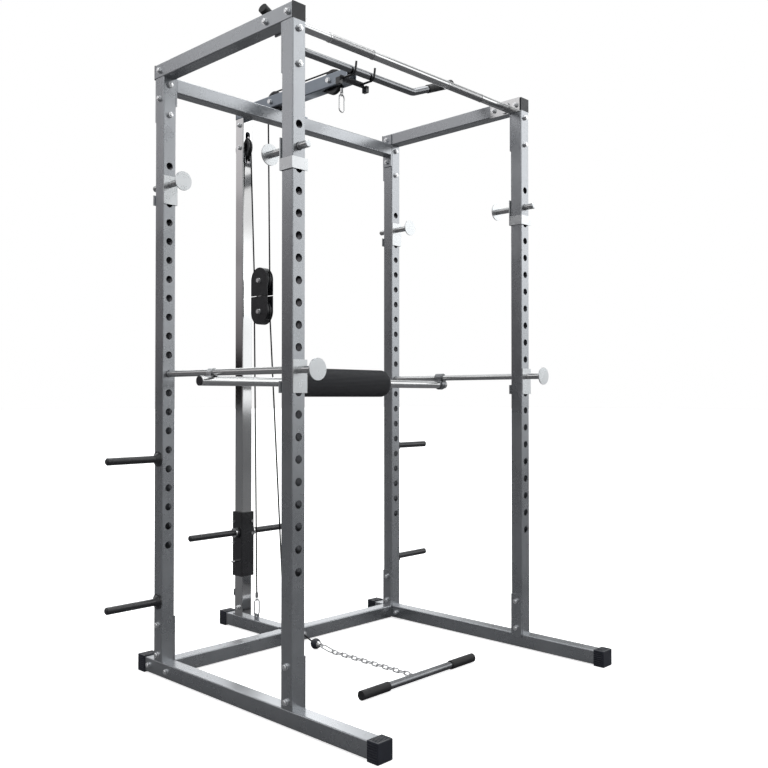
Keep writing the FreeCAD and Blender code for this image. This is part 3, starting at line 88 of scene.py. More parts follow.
# ------------------------------------------------------------------ shader graphs
class Graph:
    """A thin wrapper round a node tree that adds and joins nodes."""

    def __init__(self, tree: bpy.types.NodeTree) -> None:
        """Take the tree to fill.

        Args:
            tree: the node tree of a material, a world or a group.
        """
        self.tree = tree

    def add(self, kind: str, settings: dict[str, object] | None = None, **inputs: object) -> Node:
        """Add a node.

        Args:
            kind: the node's class name without the ShaderNode prefix.
            settings: properties of the node itself.
            **inputs: socket values or sockets by name, with underscores for spaces.

        Returns:
            The new node.
        """
        node = self.tree.nodes.new("ShaderNode" + kind)
        for name, value in (settings or {}).items():
            setattr(node, name, value)
        for name, value in inputs.items():
            self.feed(node, name.replace("_", " "), value)
        return node

    def feed(self, node: Node, name: str | int, value: object) -> None:
        """Set or link one input.

        Args:
            node: the node to feed.
            name: the socket's name or number.
            value: a socket to link, or a plain value.
        """
        if isinstance(value, Socket):
            self.tree.links.new(value, node.inputs[name])
        else:
            node.inputs[name].default_value = value

    def maths(self, operation: str, first: object, second: object = 0.0, clamp: bool = False) -> Socket:
        """Add a Math node.

        Args:
            operation: the operation's name.
            first: first value or socket.
            second: second value or socket.
            clamp: keep the result between 0 and 1.

        Returns:
            The result socket.
        """
        node = self.add("Math", {"operation": operation, "use_clamp": clamp})
        self.feed(node, 0, first)
        self.feed(node, 1, second)
        return node.outputs[0]

    def distance(self, first: Socket, second: Socket) -> Socket:
        """The distance of a point from an axis, from its two offsets."""
        squares = self.maths("ADD", self.maths("POWER", first, 2.0), self.maths("POWER", second, 2.0))
        return self.maths("POWER", squares, 0.5)

    def spread(self, value: object, low: float, high: float, to_low: float = 0.0,
               to_high: float = 1.0) -> Socket:
        """Map a value from one range to another, clamped.

        Args:
            value: the socket to map.
            low: the range's low end.
            high: the range's high end.
            to_low: result at the low end.
            to_high: result at the high end.

        Returns:
            The result socket.
        """
        node = self.add("MapRange", {"clamp": True}, Value=value, From_Min=low, From_Max=high,
                        To_Min=to_low, To_Max=to_high)
        return node.outputs["Result"]

    def mix(self, factor: object, first: object, second: object) -> Socket:
        """Mix two colours.

        Args:
            factor: share of the second colour.
            first: first colour or socket.
            second: second colour or socket.

        Returns:
            The colour socket.
        """
        node = self.add("Mix", {"data_type": "RGBA", "clamp_factor": True})
        self.feed(node, 0, factor)
        for index, value in ((6, first), (7, second)):
            self.feed(node, index, value if isinstance(value, Socket) else (*value, 1.0))
        return node.outputs[2]


def new_group(name: str, inputs: dict[str, float],
              outputs: Sequence[str]) -> tuple[bpy.types.NodeTree, Graph, Node, Node]:
    """Start a shader node group with plain number sockets.

    Args:
        name: the group's name.
        inputs: input names with their first values.
        outputs: output names.

    Returns:
        The tree, its graph, its input node and its output node.
    """
    tree = bpy.data.node_groups.new(name, "ShaderNodeTree")
    for label, value in inputs.items():
        socket = tree.interface.new_socket(label, in_out="INPUT", socket_type="NodeSocketFloat")
        socket.default_value = value
    for label in outputs:
        tree.interface.new_socket(label, in_out="OUTPUT", socket_type="NodeSocketFloat")
    graph = Graph(tree)
    return tree, graph, tree.nodes.new("NodeGroupInput"), tree.nodes.new("NodeGroupOutput")


def grain_group() -> bpy.types.NodeTree:
    """Fine surface grain with slow patches of tone.

    Returns:
        A group with the outputs Height, from 0 to 1, and Patches, from 0 to 1.
    """
    tree, graph, inlet, outlet = new_group("Surface grain", {"Grain": 900.0, "Patch": 6.0, "Detail": 3.0},
                                           ("Height", "Patches"))
    place = graph.add("TexCoord").outputs["Object"]
    fine = graph.add("TexNoise", None, Vector=place, Scale=inlet.outputs["Grain"],
                     Detail=inlet.outputs["Detail"], Roughness=0.55)
    slow = graph.add("TexNoise", None, Vector=place, Scale=inlet.outputs["Patch"], Detail=4.0,
                     Roughness=0.6)
    graph.feed(outlet, "Height", fine.outputs["Fac"])
    graph.feed(outlet, "Patches", graph.spread(slow.outputs["Fac"], 0.3, 0.7))
    return tree


def wear_group() -> bpy.types.NodeTree:
    """Rubbed edges, broken up by noise.

    Returns:
        A group with the output Mask, 1 where an edge is worn.
    """
    tree, graph, inlet, outlet = new_group("Edge wear", {"Radius": 0.0015, "Amount": 0.5, "Breakup": 60.0},
                                           ("Mask",))
    rounded = graph.add("Bevel", {"samples": 4}, Radius=inlet.outputs["Radius"])
    flat = graph.add("NewGeometry").outputs["Normal"]
    facing = graph.add("VectorMath", {"operation": "DOT_PRODUCT"})
    graph.feed(facing, 0, rounded.outputs["Normal"])
    graph.feed(facing, 1, flat)
    edge = graph.spread(facing.outputs["Value"], 0.995, 0.86)
    place = graph.add("TexCoord").outputs["Object"]
    noise = graph.add("TexNoise", None, Vector=place, Scale=inlet.outputs["Breakup"], Detail=5.0,
                      Roughness=0.65)
    broken = graph.spread(noise.outputs["Fac"], 0.35, 0.62)
    worn = graph.maths("MULTIPLY", edge, broken)
    graph.feed(outlet, "Mask", graph.maths("MULTIPLY", worn, inlet.outputs["Amount"], True))
    return tree


def streak_group() -> bpy.types.NodeTree:
    """Fine drawn or brushed lines along one direction.

    Returns:
        A group with the output Streaks, from 0 to 1.
    """
    tree, graph, inlet, outlet = new_group(
        "Brushed streaks", {"Across": 900.0, "Along X": 1.0, "Along Y": 1.0, "Along Z": 0.02}, ("Streaks",))
    place = graph.add("TexCoord").outputs["Object"]
    stretch = graph.add("CombineXYZ", None, X=inlet.outputs["Along X"], Y=inlet.outputs["Along Y"],
                        Z=inlet.outputs["Along Z"])
    scaled = graph.add("VectorMath", {"operation": "MULTIPLY"})
    graph.feed(scaled, 0, place)
    graph.feed(scaled, 1, stretch.outputs["Vector"])
    noise = graph.add("TexNoise", None, Vector=scaled.outputs["Vector"], Scale=inlet.outputs["Across"],
                      Detail=4.0, Roughness=0.6)
    graph.feed(outlet, "Streaks", graph.spread(noise.outputs["Fac"], 0.3, 0.7))
    return tree


def dust_group() -> bpy.types.NodeTree:
    """Pale dust that settles on faces that look up, more of it near the floor.

    Returns:
        A group with the output Mask, 1 where dust lies.
    """
    tree, graph, inlet, outlet = new_group("Settled dust", {"Amount": 0.2, "Reach": 0.6}, ("Mask",))
    normal = graph.add("SeparateXYZ", None, Vector=graph.add("NewGeometry").outputs["Normal"])
    upward = graph.spread(normal.outputs["Z"], 0.5, 1.0)
    place = graph.add("TexCoord").outputs["Object"]
    height = graph.add("SeparateXYZ", None, Vector=place).outputs["Z"]
    low = graph.maths("SUBTRACT", 1.0, graph.maths("DIVIDE", height, inlet.outputs["Reach"], True), True)
    noise = graph.add("TexNoise", None, Vector=place, Scale=35.0, Detail=6.0, Roughness=0.7)
    cloudy = graph.spread(noise.outputs["Fac"], 0.35, 0.7)
    settled = graph.maths("MULTIPLY", graph.maths("ADD", graph.maths("MULTIPLY", low, 0.7), 0.3), upward)
    mask = graph.maths("MULTIPLY", settled, cloudy)
    graph.feed(outlet, "Mask", graph.maths("MULTIPLY", mask, inlet.outputs["Amount"], True))
    return tree


def knurl_group() -> bpy.types.NodeTree:
    """Diamond knurl round a bar along X, between two distances from the middle.

    Returns:
        A group with the outputs Height and Mask, from 0 to 1.
    """
    tree, graph, inlet, outlet = new_group(
        "Bar knurl", {"Centre Y": 0.0, "Centre Z": 0.0, "Inner": 0.2, "Outer": 0.4, "Radius": 0.016,
                      "Pitch": 0.0016}, ("Height", "Mask"))
    place = graph.add("SeparateXYZ", None, Vector=graph.add("TexCoord").outputs["Object"])
    y_off = graph.maths("SUBTRACT", place.outputs["Y"], inlet.outputs["Centre Y"])
    z_off = graph.maths("SUBTRACT", place.outputs["Z"], inlet.outputs["Centre Z"])
    turn = graph.maths("MULTIPLY", graph.maths("ARCTAN2", z_off, y_off), KNURL_TURNS)
    run = graph.maths("DIVIDE", graph.maths("MULTIPLY", place.outputs["X"], math.pi),
                      inlet.outputs["Pitch"])
    left = graph.maths("ABSOLUTE", graph.maths("SINE", graph.maths("ADD", run, turn)))
    right = graph.maths("ABSOLUTE", graph.maths("SINE", graph.maths("SUBTRACT", run, turn)))
    across = graph.maths("ABSOLUTE", place.outputs["X"])
    inside = graph.maths("GREATER_THAN", across, inlet.outputs["Inner"])
    outside = graph.maths("LESS_THAN", across, inlet.outputs["Outer"])
    near = graph.maths("LESS_THAN", graph.distance(y_off, z_off), inlet.outputs["Radius"])
    mask = graph.maths("MULTIPLY", graph.maths("MULTIPLY", inside, outside), near)
    graph.feed(outlet, "Mask", mask)
    graph.feed(outlet, "Height", graph.maths("MULTIPLY", graph.maths("MULTIPLY", left, right), mask))
    return tree


class Effect(Enum):
    """The shared shader effects."""

    GRAIN = "Surface grain"
    WEAR = "Edge wear"
    STREAKS = "Brushed streaks"
    DUST = "Settled dust"
    KNURL = "Bar knurl"


MAKERS: dict[Effect, Callable[[], bpy.types.NodeTree]] = {
    Effect.GRAIN: grain_group,
    Effect.WEAR: wear_group,
    Effect.STREAKS: streak_group,
    Effect.DUST: dust_group,
    Effect.KNURL: knurl_group,
}


def effect(graph: Graph, kind: Effect, **values: float) -> Node:
    """Place a shared effect in a material.

    Args:
        graph: the material's graph.
        kind: which effect.
        **values: the effect's inputs, with underscores for spaces.

    Returns:
        The group node.
    """
    tree = bpy.data.node_groups.get(kind.value) or MAKERS[kind]()
    node = graph.add("Group", {"node_tree": tree})
    for name, value in values.items():
        graph.feed(node, name.replace("_", " "), value)
    return node


# ------------------------------------------------------------------ finishes
@dataclass(frozen=True)
class Finish:
    """A surface finish: its colours, its gloss and its small relief."""

    name: str
    colour: Colour
    second: Colour
    metallic: float = 0.0
    gloss: tuple[float, float] = (0.4, 0.55)
    grain: float = 900.0
    relief: float = 0.05
    patch: float = 5.0
    wear: float = 0.0
    wear_colour: Colour = (0.6, 0.6, 0.6)
    wear_radius: float = 0.0012
    dust: float = 0.05
    coat: float = 0.0
    coat_roughness: float = 0.1
    specular: float = 0.5
    sheen: float = 0.0
    glow: float = 0.0
    streaks: Axis | None = None
    streak_depth: float = 0.0
    unseen: Colour | None = None

    def build(self) -> bpy.types.Material:
        """Make the material.

        Returns:
            The finished material.
        """
        material = bpy.data.materials.new(self.name)
        material.use_nodes = True
        material.node_tree.nodes.clear()
        graph = Graph(material.node_tree)
        shader = graph.add("BsdfPrincipled")
        values = {"Metallic": self.metallic, "Coat Weight": self.coat,
                  "Coat Roughness": self.coat_roughness, "Specular IOR Level": self.specular,
                  "Sheen Weight": self.sheen, "Emission Color": (*WHITE, 1.0),
                  "Emission Strength": self.glow}
        for name, value in values.items():
            graph.feed(shader, name, value)
        grain = effect(graph, Effect.GRAIN, Grain=self.grain, Patch=self.patch)
        colour = graph.mix(grain.outputs["Patches"], self.colour, self.second)
        rough = graph.spread(grain.outputs["Patches"], 0.0, 1.0, *self.gloss)
        height = grain.outputs["Height"]
        if self.streaks is not None:
            along = {f"Along_{axis.name}": STREAK_STRETCH if axis is self.streaks else 1.0 for axis in Axis}
            lines = effect(graph, Effect.STREAKS, **along).outputs["Streaks"]
            height = graph.maths("ADD", graph.maths("MULTIPLY", lines, self.streak_depth), height)
            unevenness = graph.maths("MULTIPLY", lines, STREAK_ROUGHNESS * self.streak_depth)
            rough = graph.maths("ADD", rough, unevenness, True)
        colour, rough, height = self.extra(graph, colour, rough, height)
        if self.unseen is not None:
            seen = graph.add("LightPath").outputs["Is Camera Ray"]
            colour = graph.mix(seen, self.unseen, colour)
            graph.feed(shader, "Emission Color", graph.mix(seen, BLACK, WHITE))
        if self.wear > 0.0:
            worn = effect(graph, Effect.WEAR, Radius=self.wear_radius, Amount=self.wear).outputs["Mask"]
            colour = graph.mix(worn, colour, self.wear_colour)
        if self.dust > 0.0:
            dusty = effect(graph, Effect.DUST, Amount=self.dust).outputs["Mask"]
            colour = graph.mix(dusty, colour, DUST_COLOUR)
            rough = graph.maths("ADD", rough, graph.maths("MULTIPLY", dusty, DUST_ROUGHNESS), True)
        bump = graph.add("Bump", None, Strength=self.relief, Distance=BUMP_DISTANCE, Height=height)
        graph.feed(shader, "Base Color", colour)
        graph.feed(shader, "Roughness", rough)
        graph.feed(shader, "Normal", bump.outputs["Normal"])
        output = graph.add("OutputMaterial")
        graph.feed(output, "Surface", shader.outputs["BSDF"])
        return material

    def extra(self, graph: Graph, colour: Socket, rough: Socket, height: Socket) -> Surface:
        """Add what only some finishes have; a plain finish changes nothing."""
        return colour, rough, height


@dataclass(frozen=True)
class KnurledFinish(Finish):
    """A bar finish with a knurled grip zone on each side of a bar along X."""

    centre: tuple[float, float] = (0.0, 0.0)
    zone: tuple[float, float] = (0.2, 0.4)
    radius: float = 0.0155
    # painted shade: the dark colour laid into the knurl's valleys, and how much of it is mixed in
    knurl_shade_colour: Colour = (0.05, 0.05, 0.055)
    knurl_shade_share: float = 0.6
    roughening: float = 0.15
    knurl_relief: float = 8.0

    def extra(self, graph: Graph, colour: Socket, rough: Socket, height: Socket) -> Surface:
        """Press the knurl into the relief and paint shade into its valleys.

        Args:
            graph: the material's graph.
            colour: colour so far.
            rough: roughness so far.
            height: relief so far.

        Returns:
            The three sockets with the knurl added.
        """
        knurl = effect(graph, Effect.KNURL, Centre_Y=self.centre[0], Centre_Z=self.centre[1],
                       Inner=self.zone[0], Outer=self.zone[1], Radius=self.radius)
        mask, ridges = knurl.outputs["Mask"], knurl.outputs["Height"]
        # painted shade: darken the colour where the knurl is low, for the shade in its grooves
        knurl_shade = graph.maths("MULTIPLY", mask, graph.maths("SUBTRACT", 1.0, ridges), True)
        colour = graph.mix(graph.maths("MULTIPLY", knurl_shade, self.knurl_shade_share), colour, self.knurl_shade_colour)
        rough = graph.maths("ADD", rough, graph.maths("MULTIPLY", mask, self.roughening), True)
        height = graph.maths("ADD", height, graph.maths("MULTIPLY", ridges, self.knurl_relief))
        return colour, rough, height


@dataclass(frozen=True)
class PinnedZinc(Finish):
    """Zinc-plated strap and discs on a polished pin along Y."""

    axis: tuple[float, float] = (0.0, 0.0)
    pin_radius: float = 0.0118
    pin_colour: Colour = (0.58, 0.58, 0.58)
    pin_roughness: float = 0.09

    def extra(self, graph: Graph, colour: Socket, rough: Socket, height: Socket) -> Surface:
        """Polish the pin and leave the strap and discs satin.

        Args:
            graph: the material's graph.
            colour: colour so far.
            rough: roughness so far.
            height: relief so far.

        Returns:
            The three sockets with the pin polished.
        """
        place = graph.add("SeparateXYZ", None, Vector=graph.add("TexCoord").outputs["Object"])
        x_off = graph.maths("SUBTRACT", place.outputs["X"], self.axis[0])
        z_off = graph.maths("SUBTRACT", place.outputs["Z"], self.axis[1])
        pin = graph.maths("LESS_THAN", graph.distance(x_off, z_off), self.pin_radius)
        normal = graph.add("SeparateXYZ", None, Vector=graph.add("NewGeometry").outputs["Normal"])
        side = graph.maths("LESS_THAN", graph.maths("ABSOLUTE", normal.outputs["Y"]), 0.5)
        pin = graph.maths("MULTIPLY", pin, side)
        colour = graph.mix(pin, colour, self.pin_colour)
        rough = graph.mix(pin, rough, (self.pin_roughness,) * 3)
        return colour, rough, height


FRAME_ENAMEL = Finish(
    "frame_enamel", (0.36, 0.372, 0.39), (0.41, 0.422, 0.44), metallic=0.88, gloss=(0.22, 0.32),
    grain=700.0, relief=0.03, patch=7.0, wear=0.15, wear_colour=(0.70, 0.72, 0.74), dust=0.02,
    coat=0.25, coat_roughness=0.08, streaks=Axis.Z, streak_depth=0.25)
RAIL_ENAMEL = replace(FRAME_ENAMEL, name="rail_enamel", streaks=Axis.Y)
CROSS_ENAMEL = replace(FRAME_ENAMEL, name="cross_enamel", streaks=Axis.X)
BOOM_ENAMEL = Finish(
    "boom_enamel", (0.24, 0.27, 0.31), (0.28, 0.31, 0.35), metallic=0.85, gloss=(0.28, 0.36),
    grain=700.0, relief=0.06, wear=0.35, wear_colour=(0.55, 0.57, 0.6), dust=0.10, coat=0.25,
    coat_roughness=0.08)
CHROME = Finish(
    "post_chrome", (0.60, 0.60, 0.60), (0.66, 0.66, 0.66), metallic=1.0, gloss=(0.04, 0.08),
    grain=60.0, relief=0.012, patch=3.0, dust=0.02, streaks=Axis.Z, streak_depth=0.4)
BRIGHT_STEEL = Finish(
    "bright_steel", (0.62, 0.62, 0.62), (0.70, 0.70, 0.70), metallic=1.0, gloss=(0.12, 0.22),
    grain=500.0, relief=0.03, patch=12.0, wear=0.3, wear_colour=(0.85, 0.85, 0.85), dust=0.03)
STRAP_ZINC = Finish(
    "strap_zinc", (0.60, 0.62, 0.63), (0.70, 0.71, 0.72), metallic=0.9, gloss=(0.28, 0.42),
    grain=420.0, relief=0.05, patch=24.0, wear=0.4, wear_colour=(0.86, 0.86, 0.86), dust=0.03)
FASTENER_ZINC = Finish(
    "fastener_zinc", (0.78, 0.79, 0.80), (0.88, 0.88, 0.89), metallic=0.85, gloss=(0.14, 0.24),
    grain=700.0, relief=0.04, patch=40.0, wear=0.4, wear_colour=(0.9, 0.9, 0.9), dust=0.02)
CHAIN_STEEL = Finish(
    "chain_steel", (0.50, 0.50, 0.51), (0.62, 0.62, 0.63), metallic=1.0, gloss=(0.25, 0.4),
    grain=500.0, relief=0.05, patch=90.0, dust=0.1)
RUBBER = Finish(
    "boot_rubber", (0.012, 0.014, 0.022), (0.022, 0.025, 0.036), gloss=(0.42, 0.55), grain=500.0,
    relief=0.12, patch=14.0, wear=0.35, wear_colour=(0.07, 0.08, 0.10), dust=0.22, specular=0.45)
GRIP_RUBBER = Finish(
    "grip_rubber", (0.012, 0.012, 0.013), (0.02, 0.02, 0.021), gloss=(0.5, 0.62), grain=1100.0,
    relief=0.2, patch=18.0, dust=0.05, specular=0.4)
BLACK_PLASTIC = Finish(
    "black_plastic", (0.012, 0.012, 0.014), (0.02, 0.02, 0.023), gloss=(0.32, 0.45), grain=1300.0,
    relief=0.16, patch=16.0, wear=0.25, wear_colour=(0.09, 0.09, 0.1), dust=0.05)
NYLON = Finish(
    "pulley_nylon", (0.016, 0.016, 0.018), (0.024, 0.024, 0.027), gloss=(0.28, 0.38), grain=900.0,
    relief=0.08, patch=22.0, wear=0.2, wear_colour=(0.12, 0.12, 0.13), dust=0.03)
BLACK_ENAMEL = Finish(
    "black_enamel", (0.012, 0.012, 0.014), (0.022, 0.022, 0.025), gloss=(0.22, 0.34), grain=800.0,
    relief=0.10, patch=9.0, wear=0.3, wear_colour=(0.22, 0.22, 0.23), dust=0.08, coat=0.3)
DARK_CHROME = Finish(
    "dark_chrome", (0.20, 0.205, 0.215), (0.27, 0.275, 0.285), metallic=1.0, gloss=(0.16, 0.26),
    grain=300.0, relief=0.03, patch=10.0, wear=0.2, wear_colour=(0.6, 0.6, 0.6), dust=0.03,
    streaks=Axis.X, streak_depth=0.5)
CAST_STEEL = Finish(
    "clamp_steel", (0.20, 0.205, 0.215), (0.27, 0.275, 0.285), metallic=0.8, gloss=(0.26, 0.38),
    grain=420.0, relief=0.08, patch=26.0, wear=0.5, wear_colour=(0.6, 0.6, 0.6), dust=0.04)
CABLE_SHEATH = Finish(
    "cable_sheath", (0.004, 0.004, 0.005), (0.008, 0.008, 0.009), gloss=(0.5, 0.6), grain=1500.0,
    relief=0.05, patch=30.0, dust=0.0, specular=0.15)
FOAM = Finish(
    "roller_foam", (0.022, 0.023, 0.027), (0.032, 0.033, 0.038), gloss=(0.62, 0.75), grain=1500.0,
    relief=0.55, patch=12.0, dust=0.04, specular=0.4, sheen=0.25)
KNURLED_CHROME = KnurledFinish(
    "knurled_chrome", (0.56, 0.56, 0.56), (0.62, 0.62, 0.62), metallic=1.0, gloss=(0.1, 0.18),
    grain=500.0, relief=0.03, patch=8.0, dust=0.03, zone=(0.196, 0.384))
PINNED_ZINC = PinnedZinc(
    "pinned_zinc", STRAP_ZINC.colour, STRAP_ZINC.second, metallic=0.9, gloss=(0.22, 0.36), grain=420.0,
    relief=0.05, patch=24.0, wear=0.4, wear_colour=(0.86, 0.86, 0.86), dust=0.03)
FLOOR = Finish(
    "studio_floor", (0.86, 0.86, 0.86), (0.87, 0.87, 0.87), gloss=(0.6, 0.7), grain=4.0, relief=0.0,
    patch=0.4, dust=0.0, specular=0.2, glow=0.72, unseen=(0.15, 0.15, 0.155))

# the uprights' middle lines, and the end discs of the hooks and safety bars
UPRIGHT_X = 575.0 * MM
DISC_RADIUS = 32.5 * MM
PINNED_NODES = ("bar_hook_front_left", "bar_hook_front_right", "bar_hook_rear_left", "bar_hook_rear_right",
                "safety_bar_left", "safety_bar_right")

NODE_FINISHES: dict[Finish, tuple[str, ...]] = {
    FRAME_ENAMEL: ("upright_front_left", "upright_front_right", "upright_rear_left",
                   "upright_rear_right"),
    RAIL_ENAMEL: ("floor_rail_left", "floor_rail_right", "top_rail_left", "top_rail_right",
                  "tower_base_beam"),
    CROSS_ENAMEL: ("rear_top_crossmember", "rear_bottom_crossmember"),
    BOOM_ENAMEL: ("top_boom", "low_pulley_bracket"),
    CHROME: ("guide_post",),
    STRAP_ZINC: ("hold_down_clip",),
    BRIGHT_STEEL: ("spring_collars", "carriage_fittings", "cable_ends", "lat_cable_end", "snap_hooks",
                   "hold_down_tube", "block_straps"),
    FASTENER_ZINC: ("frame_bolts", "frame_nuts", "pulley_axles"),
    CHAIN_STEEL: ("row_chain",),
    RUBBER: ("rubber_boots", "ball_stop", "bumper_pad"),
    GRIP_RUBBER: ("lat_bar_grips", "row_bar_grips"),
    BLACK_PLASTIC: ("end_plugs", "hold_down_plugs", "block_covers", "slide_liners"),
    NYLON: ("boom_pulley_front", "boom_pulley_rear", "post_pulley", "low_pulley", "block_wheel_upper",
            "block_wheel_lower"),
    BLACK_ENAMEL: ("storage_pegs", "carriage_sleeve", "weight_pegs", "lat_bar_rest"),
    CAST_STEEL: ("hold_down_clamp",),
    DARK_CHROME: ("lat_bar", "row_bar"),
    CABLE_SHEATH: ("upper_cable", "lower_cable"),
}


class Palette:
    """Builds each finish once and hands out its material."""

    def __init__(self) -> None:
        """Start with no materials."""
        self.made: dict[str, bpy.types.Material] = {}

    def material(self, finish: Finish) -> bpy.types.Material:
        """The material of a finish.

        Args:
            finish: the finish.

        Returns:
            Its material, built at the first call.
        """
        if finish.name not in self.made:
            self.made[finish.name] = finish.build()
        return self.made[finish.name]

    def dress(self, piece: bpy.types.Object, finish: Finish) -> None:
        """Give a whole piece one finish.

        Args:
            piece: a new piece or a CAD node.
            finish: the finish.
        """
        if not piece.material_slots:
            piece.data.materials.append(None)
        for place in piece.material_slots:
            place.material = self.material(finish)

    def dress_frame(self) -> None:
        """Give every CAD node its finish."""
        for finish, nodes in NODE_FINISHES.items():
            for name in nodes:
                self.dress(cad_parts[name], finish)
        low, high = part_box("pull_up_bar")
        centre = ((low[1] + high[1]) / 2, (low[2] + high[2]) / 2)
        self.dress(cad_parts["pull_up_bar"], replace(KNURLED_CHROME, centre=centre))
        for name in PINNED_NODES:
            low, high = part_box(name)
            axis = (math.copysign(UPRIGHT_X, low[0] + high[0]), high[2] - DISC_RADIUS)
            self.dress(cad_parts[name], replace(PINNED_ZINC, name=f"{name}_zinc", axis=axis))


# ------------------------------------------------------------------ modelling helpers
def clear_selection() -> None:
    """Leave object mode with nothing selected."""
    if bpy.context.mode != "OBJECT":
        bpy.ops.object.mode_set(mode="OBJECT")
    bpy.ops.object.select_all(action="DESELECT")


def select_only(*pieces: bpy.types.Object) -> None:
    """Select some objects and nothing else, and make the first one active."""
    clear_selection()
    for piece in pieces:
        piece.select_set(True)
    bpy.context.view_layer.objects.active = pieces[0]


def corners(node: str) -> Corners:
    """The low and high corner of a CAD node's box."""
    low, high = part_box(node)
    return Vector(low), Vector(high)


def start_piece(name: str) -> bpy.types.Object:
    """Name the primitive that was just added.

    Args:
        name: the piece's name.

    Returns:
        The object.
    """
    piece = bpy.context.active_object
    piece.name = name
    piece.data.name = name
    return piece


def choose_faces(piece: bpy.types.Object, test: Callable[[bmesh.types.BMFace], bool]) -> None:
    """Enter edit mode with only the faces that pass a test selected.

    Args:
        piece: the object.
        test: takes a face and says whether it is selected.
    """
    if bpy.context.mode != "EDIT_MESH":
        bpy.ops.object.mode_set(mode="EDIT")
    bpy.ops.mesh.select_mode(type="FACE")
    bpy.ops.mesh.select_all(action="DESELECT")
    mesh = bmesh.from_edit_mesh(piece.data)
    for face in mesh.faces:
        face.select_set(bool(test(face)))
    bmesh.update_edit_mesh(piece.data)


def apply_modifier(piece: bpy.types.Object, kind: str, **settings: object) -> None:
    """Add one modifier and apply it.

    Args:
        piece: the object.
        kind: the modifier's type.
        **settings: its properties.
    """
    select_only(piece)
    modifier = piece.modifiers.new(kind.title(), kind)
    for name, value in settings.items():
        setattr(modifier, name, value)
    bpy.ops.object.modifier_apply(modifier=modifier.name)


def cut_lengths(axis: Axis, low: float, high: float, count: int) -> None:
    """Cut the active piece into equal lengths along an axis, and leave it in edit mode.

    Args:
        axis: the direction of its length.
        low: where it starts.
        high: where it ends.
        count: how many lengths.
    """
    bpy.ops.object.mode_set(mode="EDIT")
    for index in range(1, count):
        place, way = [0.0, 0.0, 0.0], [0.0, 0.0, 0.0]
        place[axis.value] = low + (high - low) * index / count
        way[axis.value] = 1.0
        bpy.ops.mesh.select_all(action="SELECT")
        bpy.ops.mesh.bisect(plane_co=place, plane_no=way)


def loose_parts(mesh: bpy.types.Mesh) -> list[list[Vector]]:
    """Split a mesh into the points of its separate parts.

    Args:
        mesh: the mesh.

    Returns:
        The points of each part.
    """
    owner = list(range(len(mesh.vertices)))

    def root(index: int) -> int:
        """The part that a vertex belongs to."""
        while owner[index] != index:
            owner[index] = owner[owner[index]]
            index = owner[index]
        return index

    for edge in mesh.edges:
        first, second = (root(index) for index in edge.vertices)
        owner[first] = second
    parts: dict[int, list[Vector]] = {}
    for vertex in mesh.vertices:
        parts.setdefault(root(vertex.index), []).append(vertex.co.copy())
    return list(parts.values())


def settle(piece: bpy.types.Object, angle: float = 35.0) -> None:
    """Put a piece's place in its mesh and shade it smooth up to an angle.

    Args:
        piece: the object.
        angle: edges sharper than this stay sharp, in degrees.
    """
    select_only(piece)
    bpy.ops.object.transform_apply(location=True, rotation=True, scale=True)
    bpy.ops.object.shade_smooth_by_angle(angle=math.radians(angle))
    clear_selection()


